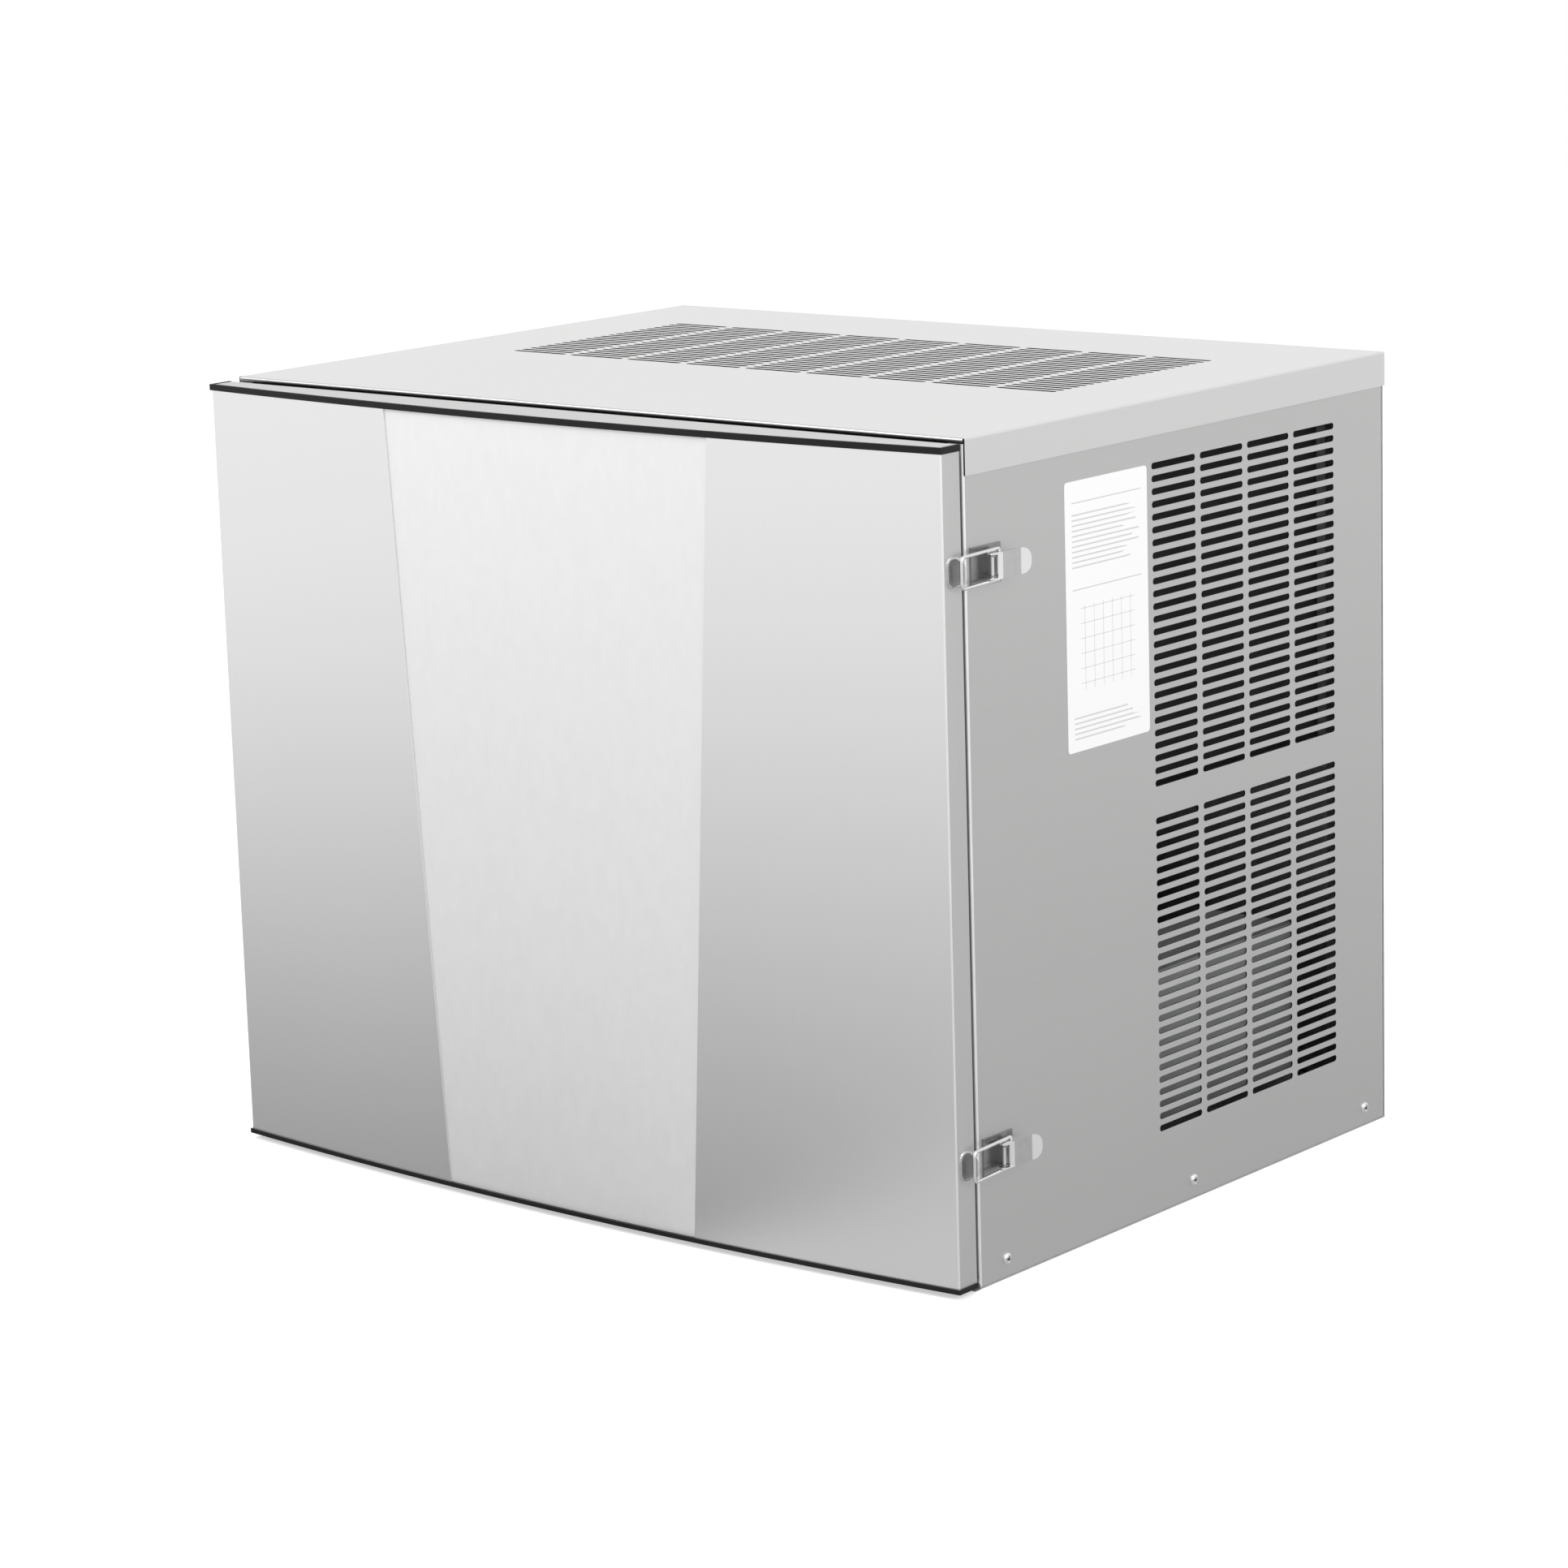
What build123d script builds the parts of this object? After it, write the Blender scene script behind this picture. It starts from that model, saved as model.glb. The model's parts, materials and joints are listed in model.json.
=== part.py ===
from build123d import *
import os

os.makedirs("parts", exist_ok=True)

# A modular ice cube machine: a stainless cabinet with a bowed lift-off door
# held by toggle latches. Millimetres. X right, Y to the back, Z up; the origin
# is the middle of the cabinet's footprint on the surface it stands on.

# Cabinet
cabinet_width = 762.0
cabinet_depth = 563.0
cabinet_height = 651.0
sheet = 1.2
base_sheet = 2.0
frame_sheet = 1.5
seat_gap = 0.3
running_gap = 0.05
cover_flange = 28.0
cover_edge_radius = 1.5
cover_hem_height = 4.2
cover_hem_depth = 12.0
cover_hem_radius = 2.05
side_return = 14.0
base_flange = 28.0
base_front_lip = 20.0
post_width = 38.0
post_depth = 25.0

# Air vents in the right side panel and in the top cover
vent_length = 58.0
vent_height = 5.0
vent_pitch_long = 64.8
vent_pitch_short = 10.0
side_vent_columns = 4
side_vent_centre = 362.0
lower_vents_bottom_row = 69.0
vent_group_gap = 30.0
vent_top_margin = 52.0
top_vent_columns = 9
top_vent_rows = 22
top_vent_centre = 342.5

# Screws along the foot of the side panels
screw_radius = 2.0
screw_head_radius = 4.8
screw_head_height = 2.4
screw_hole_play = 0.1
screw_pocket_play = 1.0
screw_length = 6.0
screw_height = 15.5
screw_front_inset = 34.0
screw_back_inset = 32.5

# Door
door_side_overhang = 1.5
door_end_depth = 21.5
door_gap = 8.0
door_bow = 18.6
door_skin_bottom = 8.0
door_skin_top = 643.0
door_sheet = 1.2
door_top_thickness = 4.6
door_trim_height = 5.0
door_trim_overhang = 1.3
door_bottom_cap_height = 3.7
centre_step = 3.5
centre_half_width_top = 170.0
centre_half_width_bottom = 132.0
gasket_width = 14.0
gasket_inset = 5.0

# Front opening frame and dark rail under the door
frame_border = 26.0
frame_depth = 18.0
rail_reach = 7.4
rail_height = 3.4

# Toggle latches, measured out from the side panel and back from the cabinet's
# front edge
upper_latch_drop = 97.0
lower_latch_height = 102.0
latch_sheet = 1.2
latch_pin_out = 8.5
latch_pin_back = 22.0
latch_pin_radius = 1.5
ear_radius = 3.0
ear_inside = 7.0
lever_play = 0.5
latch_base_front = 6.0
latch_base_length = 36.0
latch_base_width = 30.0
lever_web_out = 12.0
lever_web_start = 27.2
lever_web_end = 50.0
lever_tip_end = 60.5
lever_tip_flare = 2.6
lever_tip_radius = 8.5
lever_roll_radius = 2.2
lever_nose_radius = 4.0
lever_flange_depth = 7.4
lever_heel = 4.0
bail_radius = 1.4
bail_play = 0.4
bail_pivot_out = 6.5
bail_pivot_back = 33.0
bail_bar_out = 10.0
bail_bar_play = 0.2
strike_lip_forward = 15.2
strike_lip_out = 12.0
strike_lip_width = 18.0
strike_front = 26.0
strike_length = 17.0
strike_width = 24.0
strike_corner = 5.0

# Ice-making compartment
liner_wall = 20.0
liner_back_wall = 23.0
bulkhead_front = 207.0
control_bay_width = 151.0
drop_opening_front = 42.0
drop_opening_depth = 100.0
drop_opening_side = 24.0
drop_collar = 12.0

# Evaporator and water circuit
cell_pitch = 32.0
cell_rows = 8
cell_wall = 1.6
cell_depth = 20.0
evaporator_front = 120.0
evaporator_bottom = 230.0
evaporator_border = 16.0
evaporator_lip = 2.0
coil_section = 9.0
coil_depth = 8.0
coil_runs = 5
coil_margin = 30.0
trough_height = 62.0
trough_wall = 3.0
trough_bottom = 60.0
trough_front = 100.0
trough_corner = 10.0
distributor_width = 26.0
distributor_height = 24.0
distributor_corner = 9.0
curtain_thickness = 2.5
curtain_hub_radius = 5.0
curtain_pin_radius = 3.0
curtain_ear_thickness = 6.0
curtain_ear_radius = 7.0
curtain_drop = 270.0
curtain_curl = 30.0
curtain_stand_off = 9.0
pump_inset = 60.0
pump_bay = 130.0
pump_motor_radius = 32.0
pump_motor_height = 75.0
pump_motor_lift = 18.0
pump_foot_radius = 17.0
pump_shoulder = 10.0
hose_radius = 7.0
hose_bend = 16.0
hose_from_pump = 45.0
hose_lift = 27.0

# Refrigeration
compressor_radius = 78.0
compressor_height = 190.0
compressor_dome = 34.0
compressor_foot_round = 16.0
compressor_x = 60.0
compressor_plate = 3.0
compressor_plate_length = 190.0
compressor_plate_width = 150.0
compressor_port_offset = 26.0
compressor_port_shift = 33.0
terminal_width = 50.0
terminal_reach = 24.0
terminal_height = 60.0
grommet_height = 18.0
grommet_radius = 13.0
grommet_inset = 16.0
tube_radius = 4.8
tube_bend = 18.0
discharge_rise = 19.5
capacitor_box_length = 206.0
capacitor_box_width = 80.0
capacitor_box_height = 128.0
capacitor_box_bottom = 49.0
capacitor_box_from_panel = 48.5
capacitor_box_centre = 393.0
capacitor_foot = 16.0
condenser_thickness = 26.0
condenser_from_panel = 12.0
condenser_margin = 4.0
condenser_header_radius = 13.0
shroud_depth = 26.0
fan_radius = 100.0
fan_ring_gap = 8.0
fan_blade_count = 5
fan_blade_width = 46.0
fan_blade_thickness = 1.6
fan_blade_pitch = 22.0
fan_hub_radius = 22.0
fan_hub_length = 18.0
fan_shaft_radius = 4.0
motor_radius = 38.0
motor_length = 62.0
motor_corner = 6.0
bracket_bar = 24.0
bracket_thickness = 3.0
bracket_overlap = 14.0
drier_radius = 12.5
drier_length = 110.0
drier_taper = 14.0
valve_radius = 11.0
valve_length = 34.0
coil_cap_size = 30.0
coil_cap_height = 36.0
hot_gas_height = 420.0

# Services at the back
service_recess = 0.3
service_depth = 16.0
service_body_depth = 34.0
inlet_x = -250.0
inlet_height = 170.0
inlet_thread_radius = 7.5
inlet_body_radius = 15.0
water_line_radius = 4.8
water_line_reach = 17.0
drain_x = -150.0
drain_height = 80.0
drain_thread_radius = 12.0
drain_body_radius = 17.0
drain_valve_length = 40.0
gland_side = 91.0
gland_drop = 91.0
gland_bore_radius = 6.5
gland_body_radius = 13.0

# Controls
control_box_depth = 90.0
control_box_height = 300.0
control_box_bottom = 260.0
control_box_side_gap = 3.0
board_thickness = 2.0
board_standoff = 8.0
board_inset = 14.0
relay_height = 26.0
relay_pitch = 36.0
relay_columns = 3
relay_rows = 2
switch_width = 22.0
switch_height = 30.0
switch_pivot_back = 6.0
switch_pin_radius = 1.8
switch_play = 1.4
switch_ear = 2.5
switch_drop = 60.0

# Where the faces of the main pieces lie
right = cabinet_width / 2
front = -cabinet_depth / 2
back = cabinet_depth / 2
cover_underside = cabinet_height - sheet
panel_top = cabinet_height - cover_hem_height - seat_gap
panel_face = right - sheet - seat_gap
panel_inside = panel_face - sheet
back_panel_face = back - sheet - seat_gap
panel_back = back_panel_face - sheet - seat_gap
flange_face = panel_inside - seat_gap
flange_inside = flange_face - frame_sheet - seat_gap
post_back = panel_back - sheet - seat_gap
flange_back = post_back - frame_sheet - seat_gap
liner_front = front + base_front_lip + frame_sheet + seat_gap
bulkhead = front + bulkhead_front
bulkhead_back = bulkhead + liner_back_wall
food_left = -flange_inside + liner_wall
food_right = panel_inside - control_bay_width - liner_wall
food_centre = (food_left + food_right) / 2
cell_columns = int((food_right - food_left - 2 * pump_bay) / cell_pitch)
door_width = cabinet_width + 2 * door_side_overhang
latch_heights = {"upper": cabinet_height - upper_latch_drop, "lower": lower_latch_height}
gland_height = cabinet_height - gland_drop
gland_x = right - gland_side
vent_rise = cabinet_height - vent_top_margin - lower_vents_bottom_row - vent_group_gap
side_vent_rows = int(vent_rise / (2 * vent_pitch_short)) + 1
vent_group_height = (side_vent_rows - 1) * vent_pitch_short + vent_height
vent_group_length = (side_vent_columns - 1) * vent_pitch_long + vent_length
lower_vents_middle = lower_vents_bottom_row + (side_vent_rows - 1) * vent_pitch_short / 2
upper_vents_middle = lower_vents_middle + (side_vent_rows - 1) * vent_pitch_short + vent_group_gap
screw_places = (front + screw_front_inset, 0.0, back - screw_back_inset)


def finish(builder, name):
    # Names a finished piece and writes it to its own file.
    builder.part.label = name
    export_step(builder.part, f"parts/{name}.step")


def facing_front(depth):
    # An upright plane across the cabinet at one depth; a negative extrusion
    # from it runs towards the back.
    return Plane.XZ.offset(-depth)


def tube(points, radius, bend):
    # A round tube or hose along straight runs joined by equal bends.
    with BuildPart() as pipe:
        with BuildLine() as route:
            FilletPolyline(*points, radius=bend)
        path = route.wires()[0]
        with BuildSketch(Plane(origin=path @ 0, z_dir=path % 0)):
            Circle(radius)
        sweep(path=path)
    return pipe


# Base pan: a floor plate with an upturned flange, and the opening that the
# ice drops through, with a collar round it
drop_width = food_right - food_left - 2 * drop_opening_side
drop_middle = front + drop_opening_front + drop_opening_depth / 2
flange_length = flange_back - front - base_front_lip
with BuildPart() as base_pan:
    with BuildSketch():
        with Locations((0, front)):
            Rectangle(2 * panel_face, back_panel_face - front, align=(Align.CENTER, Align.MIN))
    extrude(amount=base_sheet)
    with BuildSketch():
        with Locations((0, front + base_front_lip)):
            Rectangle(2 * flange_face, flange_length, align=(Align.CENTER, Align.MIN))
        with Locations((0, front + base_front_lip + frame_sheet)):
            Rectangle(
                2 * (flange_face - frame_sheet),
                flange_length - 2 * frame_sheet,
                align=(Align.CENTER, Align.MIN),
                mode=Mode.SUBTRACT,
            )
    extrude(amount=base_flange)
    with BuildSketch():
        with Locations((food_centre, drop_middle)):
            Rectangle(drop_width + 2 * base_sheet, drop_opening_depth + 2 * base_sheet)
    extrude(amount=drop_collar)
    with BuildSketch():
        with Locations((food_centre, drop_middle)):
            Rectangle(drop_width, drop_opening_depth)
    extrude(amount=drop_collar, mode=Mode.SUBTRACT)
    with BuildSketch(Plane.YZ):
        with Locations(*[(place, screw_height) for place in screw_places]):
            Circle(screw_radius + screw_hole_play)
    extrude(amount=flange_face, both=True, mode=Mode.SUBTRACT)
finish(base_pan, "base_pan")

# Dark rail along the foot of the cabinet, bridging the gap under the door
with BuildPart() as front_rail:
    with BuildSketch(Plane.YZ):
        with Locations((front, 0)):
            Rectangle(rail_reach, rail_height, align=(Align.MAX, Align.MIN))
    extrude(amount=panel_face, both=True)
    nose_edges = front_rail.edges().filter_by(Axis.X).group_by(Axis.Y)[0]
    fillet(nose_edges, radius=sheet)
finish(front_rail, "front_rail")

# Front frame: a channel folded round the opening, which the gasket closes on
frame_half = panel_face - side_return - seat_gap
frame_tall = panel_top - base_sheet
frame_middle = (panel_top + base_sheet) / 2
with BuildPart() as front_frame:
    with BuildSketch(facing_front(front)):
        with Locations((0, frame_middle)):
            Rectangle(2 * frame_half, frame_tall)
            Rectangle(
                2 * (frame_half - frame_border), frame_tall - 2 * frame_border, mode=Mode.SUBTRACT
            )
    extrude(amount=-frame_depth)
    with BuildSketch(facing_front(front + frame_sheet)):
        with Locations((0, frame_middle)):
            Rectangle(2 * (frame_half - frame_sheet), frame_tall - 2 * frame_sheet)
            Rectangle(
                2 * (frame_half - frame_border + frame_sheet),
                frame_tall - 2 * (frame_border - frame_sheet),
                mode=Mode.SUBTRACT,
            )
    extrude(amount=-frame_depth, mode=Mode.SUBTRACT)
finish(front_frame, "front_frame")


def side_panel(side, vented):
    # A folded side sheet with a front and a back return, screwed to the base
    # flange; side is 1 on the right and -1 on the left.
    inward = Align.MAX if side > 0 else Align.MIN
    with BuildPart() as panel:
        with BuildSketch(Plane.XY.offset(base_sheet)):
            with Locations((side * panel_face, front)):
                Rectangle(sheet, panel_back - front, align=(inward, Align.MIN))
                Rectangle(side_return, sheet, align=(inward, Align.MIN))
            with Locations((side * panel_face, panel_back)):
                Rectangle(side_return, sheet, align=(inward, Align.MAX))
        extrude(amount=panel_top - base_sheet)
        with BuildSketch(Plane.YZ.offset(side * panel_face)):
            with Locations(*[(place, screw_height) for place in screw_places]):
                Circle(screw_radius + screw_hole_play)
            if vented:
                for middle in (lower_vents_middle, upper_vents_middle):
                    with Locations((front + side_vent_centre, middle)):
                        with GridLocations(
                            vent_pitch_long, vent_pitch_short, side_vent_columns, side_vent_rows
                        ):
                            Rectangle(vent_length, vent_height)
        extrude(amount=-side * sheet, mode=Mode.SUBTRACT)
    return panel


right_side_panel = side_panel(1, vented=True)
finish(right_side_panel, "right_side_panel")
left_side_panel = side_panel(-1, vented=False)
finish(left_side_panel, "left_side_panel")

# Back panel with holes for the water inlet, the drain and the power gland
with BuildPart() as back_panel:
    with BuildSketch(facing_front(back_panel_face - sheet)):
        with Locations((0, (panel_top + base_sheet) / 2)):
            Rectangle(2 * panel_face, panel_top - base_sheet)
        with Locations((inlet_x, inlet_height)):
            Circle(inlet_body_radius + seat_gap, mode=Mode.SUBTRACT)
        with Locations((drain_x, drain_height)):
            Circle(drain_body_radius + seat_gap, mode=Mode.SUBTRACT)
        with Locations((gland_x, gland_height)):
            Circle(gland_body_radius + seat_gap, mode=Mode.SUBTRACT)
    extrude(amount=-sheet)
finish(back_panel, "back_panel")

# Top cover: a flat sheet with side and back flanges, a rolled front edge and
# a field of vents
with BuildPart() as top_cover:
    with BuildSketch(Plane.XY.offset(cabinet_height - cover_flange)):
        with Locations((0, front + cover_hem_height / 2)):
            Rectangle(
                cabinet_width,
                cabinet_depth - cover_hem_height / 2,
                align=(Align.CENTER, Align.MIN),
            )
    extrude(amount=cover_flange)
    top_edges = top_cover.faces().sort_by(Axis.Z)[-1].edges()
    fillet(top_edges.sort_by(Axis.Y)[1:], radius=cover_edge_radius)
    with BuildSketch(Plane.XY.offset(cabinet_height - cover_flange)):
        with Locations((0, front)):
            Rectangle(
                cabinet_width - 2 * sheet, cabinet_depth - sheet, align=(Align.CENTER, Align.MIN)
            )
    extrude(amount=cover_flange - sheet, mode=Mode.SUBTRACT)
    with BuildSketch(Plane.YZ.offset(-right)) as hem:
        with Locations((front, cabinet_height)):
            Rectangle(cover_hem_depth, cover_hem_height, align=(Align.MIN, Align.MAX))
        fillet(hem.vertices().group_by(Axis.X)[0], radius=cover_hem_radius)
    extrude(amount=cabinet_width)
    with BuildSketch(Plane.XY.offset(cabinet_height)):
        with Locations((0, front + top_vent_centre)):
            with GridLocations(vent_pitch_long, vent_pitch_short, top_vent_columns, top_vent_rows):
                Rectangle(vent_length, vent_height)
    extrude(amount=-sheet, mode=Mode.SUBTRACT)
finish(top_cover, "top_cover")


def rear_post(side):
    # An angle that stands on the base flange and carries the back corner.
    inward = Align.MAX if side > 0 else Align.MIN
    outward = Align.MIN if side > 0 else Align.MAX
    with BuildPart() as post:
        with BuildSketch(Plane.XY.offset(base_flange + seat_gap)):
            with Locations((side * flange_face, post_back)):
                Rectangle(post_width, frame_sheet, align=(inward, Align.MAX))
            with Locations((side * (flange_face - post_width), post_back)):
                Rectangle(frame_sheet, post_depth, align=(outward, Align.MAX))
        extrude(amount=cover_underside - base_flange - 2 * seat_gap)
    return post


finish(rear_post(1), "rear_right_post")
finish(rear_post(-1), "rear_left_post")

# Pan-head screws: three along the foot of each side panel
with BuildPart() as casing_screws:
    with BuildSketch(Plane.YZ.offset(panel_face)):
        with Locations(*[(place, screw_height) for place in screw_places]):
            Circle(screw_head_radius)
    extrude(amount=screw_head_height)
    with BuildSketch(Plane.YZ.offset(panel_face)):
        with Locations(*[(place, screw_height) for place in screw_places]):
            Circle(screw_radius)
    extrude(amount=-screw_length)
    mirror(about=Plane.YZ)
finish(casing_screws, "casing_screws")

# Door: two bowed wings beside a recessed centre panel, on a foamed inner
# liner, between a black trim above and a black cap below
door_half = door_width / 2
door_back = front - door_gap
door_end_front = door_back - door_end_depth
door_skin_height = door_skin_top - door_skin_bottom


def door_plan(level, inset, behind=0.0):
    # The door seen from above, set in by one distance all round its front and
    # ends, and run on past its back face by another.
    half = door_half - inset
    corner = door_end_front + inset
    rear = door_back + behind
    with BuildSketch(Plane.XY.offset(level)) as plan:
        with BuildLine():
            ThreePointArc((-half, corner), (0, corner - door_bow), (half, corner))
            Polyline((half, corner), (half, rear), (-half, rear), (-half, corner))
        make_face()
    return plan.sketch


def centre_outline(grow):
    # The tapered centre panel seen from the front, grown by a margin.
    with BuildSketch(facing_front(front)) as outline:
        with BuildLine():
            Polyline(
                (centre_half_width_top + grow, door_skin_top),
                (centre_half_width_bottom + grow, door_skin_bottom),
                (-centre_half_width_bottom - grow, door_skin_bottom),
                (-centre_half_width_top - grow, door_skin_top),
                close=True,
            )
        make_face()
    return outline.sketch


def wing_outline(side, grow):
    # One wing of the door seen from the front, its slanted edge moved by a
    # margin towards the middle.
    with BuildSketch(facing_front(front)) as outline:
        with BuildLine():
            Polyline(
                (side * (centre_half_width_top - grow), door_skin_top),
                (side * (centre_half_width_bottom - grow), door_skin_bottom),
                (side * door_width, door_skin_bottom),
                (side * door_width, door_skin_top),
                close=True,
            )
        make_face()
    return outline.sketch


door_reach = door_gap + door_end_depth + door_bow + door_end_depth
panel_floor = centre_step + door_sheet


def door_wing(side):
    # A bowed sheet folded round the door's end, with a short return along
    # its slanted edge that covers the edge of the centre panel.
    with BuildPart() as cavity:
        extrude(door_plan(door_skin_bottom, door_sheet, behind=door_gap), amount=door_skin_height)
        extrude(wing_outline(side, -door_sheet), amount=door_reach, mode=Mode.INTERSECT)
    with BuildPart() as wing:
        extrude(door_plan(door_skin_bottom, 0), amount=door_skin_height)
        add(cavity.part, mode=Mode.SUBTRACT)
        extrude(
            door_plan(door_skin_bottom, panel_floor, behind=door_gap),
            amount=door_skin_height,
            mode=Mode.SUBTRACT,
        )
        extrude(wing_outline(side, 0), amount=door_reach, mode=Mode.INTERSECT)
    return wing


finish(door_wing(-1), "door_left_wing")
finish(door_wing(1), "door_right_wing")

with BuildPart() as door_centre_panel:
    extrude(door_plan(door_skin_bottom, centre_step), amount=door_skin_height)
    extrude(
        door_plan(door_skin_bottom, panel_floor, behind=door_gap),
        amount=door_skin_height,
        mode=Mode.SUBTRACT,
    )
    extrude(centre_outline(-seat_gap), amount=door_reach, mode=Mode.INTERSECT)
finish(door_centre_panel, "door_centre_panel")

with BuildPart() as centre_pocket:
    extrude(door_plan(door_skin_bottom, 0), amount=door_skin_height)
    extrude(
        door_plan(door_skin_bottom, panel_floor + seat_gap, behind=door_gap),
        amount=door_skin_height,
        mode=Mode.SUBTRACT,
    )
    extrude(centre_outline(door_sheet + seat_gap), amount=door_reach, mode=Mode.INTERSECT)

with BuildPart() as door_liner:
    extrude(
        door_plan(door_skin_bottom, door_sheet + seat_gap),
        amount=door_skin_height + door_top_thickness,
    )
    add(centre_pocket.part, mode=Mode.SUBTRACT)
finish(door_liner, "door_liner")

with BuildPart() as door_top_trim:
    extrude(door_plan(door_skin_top, -door_trim_overhang), amount=door_trim_height)
    extrude(
        door_plan(door_skin_top, door_sheet, behind=door_gap),
        amount=door_trim_height,
        mode=Mode.SUBTRACT,
    )
finish(door_top_trim, "door_top_trim")

with BuildPart() as door_bottom_cap:
    extrude(
        door_plan(door_skin_bottom - door_bottom_cap_height, -door_trim_overhang),
        amount=door_bottom_cap_height,
    )
finish(door_bottom_cap, "door_bottom_cap")

# Black gasket on the back of the door, closing on the front frame
gasket_half = frame_half - gasket_inset
gasket_tall = frame_tall - 2 * gasket_inset
with BuildPart() as door_gasket:
    with BuildSketch(facing_front(door_back)):
        with Locations((0, frame_middle)):
            Rectangle(2 * gasket_half, gasket_tall)
            Rectangle(
                2 * (gasket_half - gasket_width), gasket_tall - 2 * gasket_width, mode=Mode.SUBTRACT
            )
    extrude(amount=-(door_gap - seat_gap))
finish(door_gasket, "door_gasket")

# Toggle latches, two on each side. Each lever turns on a pin between the
# ears of its base; a wire bail on the lever hooks over a strike on the door.
pin_x = panel_face + latch_pin_out
pin_y = front + latch_pin_back
ear_outside = ear_inside + latch_sheet
lever_inside = ear_outside + lever_play
lever_outside = lever_inside + latch_sheet
lip_front = front - strike_lip_forward
bail_half = lever_outside + bail_play + bail_radius
bail_bar_y = lip_front - bail_bar_play - bail_radius

with BuildPart() as latch_strikes:
    for height in latch_heights.values():
        with BuildSketch(Plane.YZ.offset(door_half)):
            with Locations((front - strike_front, height)):
                Rectangle(strike_length, strike_width, align=(Align.MIN, Align.CENTER))
        extrude(amount=latch_sheet)
        with BuildSketch(Plane.XY.offset(height)):
            with Locations((door_half, lip_front)):
                Rectangle(
                    panel_face + strike_lip_out - door_half, latch_sheet, align=(Align.MIN, Align.MIN)
                )
        extrude(amount=strike_lip_width / 2, both=True)
    strike_plates = latch_strikes.edges().filter_by(Axis.X)
    strike_noses = strike_plates.group_by(Axis.Y)[0]
    fillet(strike_noses, radius=strike_corner)
    mirror(about=Plane.YZ)
finish(latch_strikes, "latch_strikes")

with BuildPart() as latch_bases:
    for height in latch_heights.values():
        with BuildSketch(Plane.YZ.offset(panel_face)):
            with Locations((front + latch_base_front, height)):
                Rectangle(latch_base_length, latch_base_width, align=(Align.MIN, Align.CENTER))
        extrude(amount=latch_sheet)
        for level in (height + ear_inside, height - ear_outside):
            with BuildSketch(Plane.XY.offset(level)):
                with Locations((panel_face, pin_y)):
                    Rectangle(latch_pin_out, 2 * ear_radius, align=(Align.MIN, Align.CENTER))
                with Locations((pin_x, pin_y)):
                    Circle(ear_radius)
                    Circle(latch_pin_radius + running_gap, mode=Mode.SUBTRACT)
            extrude(amount=latch_sheet)
    mirror(about=Plane.YZ)
finish(latch_bases, "latch_bases")

with BuildPart() as latch_hinge_pins:
    for height in latch_heights.values():
        with BuildSketch(Plane.XY.offset(height)):
            with Locations((pin_x, pin_y)):
                Circle(latch_pin_radius)
        extrude(amount=lever_outside, both=True)
    mirror(about=Plane.YZ)
finish(latch_hinge_pins, "latch_hinge_pins")


def latch_lever(side, height):
    # A channel with a rolled front end, two hinge flanges and a rounded tip
    # that flares out for a finger.
    web_in = panel_face + lever_web_out
    web_out = web_in + latch_sheet
    web_start = front + lever_web_start
    web_end = front + lever_web_end
    tip_end = front + lever_tip_end
    with BuildPart() as lever:
        with BuildSketch(Plane.XY.offset(height)):
            with BuildLine():
                Polyline(
                    (web_in, web_start),
                    (web_in, web_end),
                    (web_in + lever_tip_flare, tip_end),
                    (web_out + lever_tip_flare, tip_end),
                    (web_out, web_end),
                    (web_out, web_start),
                    close=True,
                )
            make_face()
            with Locations((web_out - lever_roll_radius, web_start)):
                Circle(lever_roll_radius)
        extrude(amount=lever_outside, both=True)
        with BuildSketch(Plane.YZ.offset(panel_face)) as rounded:
            with Locations((tip_end, height)):
                Rectangle(
                    lever_tip_end, 2 * lever_outside, align=(Align.MAX, Align.CENTER)
                )
            fillet(rounded.vertices().group_by(Axis.X)[-1], radius=lever_tip_radius)
        extrude(amount=2 * lever_web_out, mode=Mode.INTERSECT)
        for level in (height + lever_inside, height - lever_outside):
            with BuildSketch(Plane.XY.offset(level)):
                with Locations((pin_x, pin_y)):
                    Circle(lever_nose_radius)
                with BuildLine():
                    Polyline(
                        (pin_x - lever_nose_radius, pin_y),
                        (
                            web_out - lever_flange_depth - latch_sheet,
                            front + bail_pivot_back + lever_heel,
                        ),
                        (web_in, web_end),
                        (web_out, web_end),
                        (web_out, web_start),
                        (pin_x + lever_nose_radius, pin_y),
                        close=True,
                    )
                make_face()
                with Locations((pin_x, pin_y)):
                    Circle(latch_pin_radius + running_gap, mode=Mode.SUBTRACT)
                with Locations((panel_face + bail_pivot_out, front + bail_pivot_back)):
                    Circle(bail_radius + running_gap, mode=Mode.SUBTRACT)
            extrude(amount=latch_sheet)
        if side < 0:
            mirror(about=Plane.YZ, mode=Mode.REPLACE)
    return lever


def latch_bail(side, height):
    # A wire loop: its turned-in ends pivot in the lever's flanges and its
    # front bar lies against the strike's lip.
    pivot = (panel_face + bail_pivot_out, front + bail_pivot_back)
    bar = (panel_face + bail_bar_out, bail_bar_y)
    end = ear_outside + seat_gap
    with BuildPart() as bail:
        with BuildLine() as route:
            Polyline(
                (*pivot, height + end),
                (*pivot, height + bail_half),
                (*bar, height + bail_half),
                (*bar, height - bail_half),
                (*pivot, height - bail_half),
                (*pivot, height - end),
            )
        path = route.wires()[0]
        with BuildSketch(Plane(origin=path @ 0, z_dir=path % 0)):
            Circle(bail_radius)
        sweep(path=path, transition=Transition.RIGHT)
        if side < 0:
            mirror(about=Plane.YZ, mode=Mode.REPLACE)
    return bail


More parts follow.
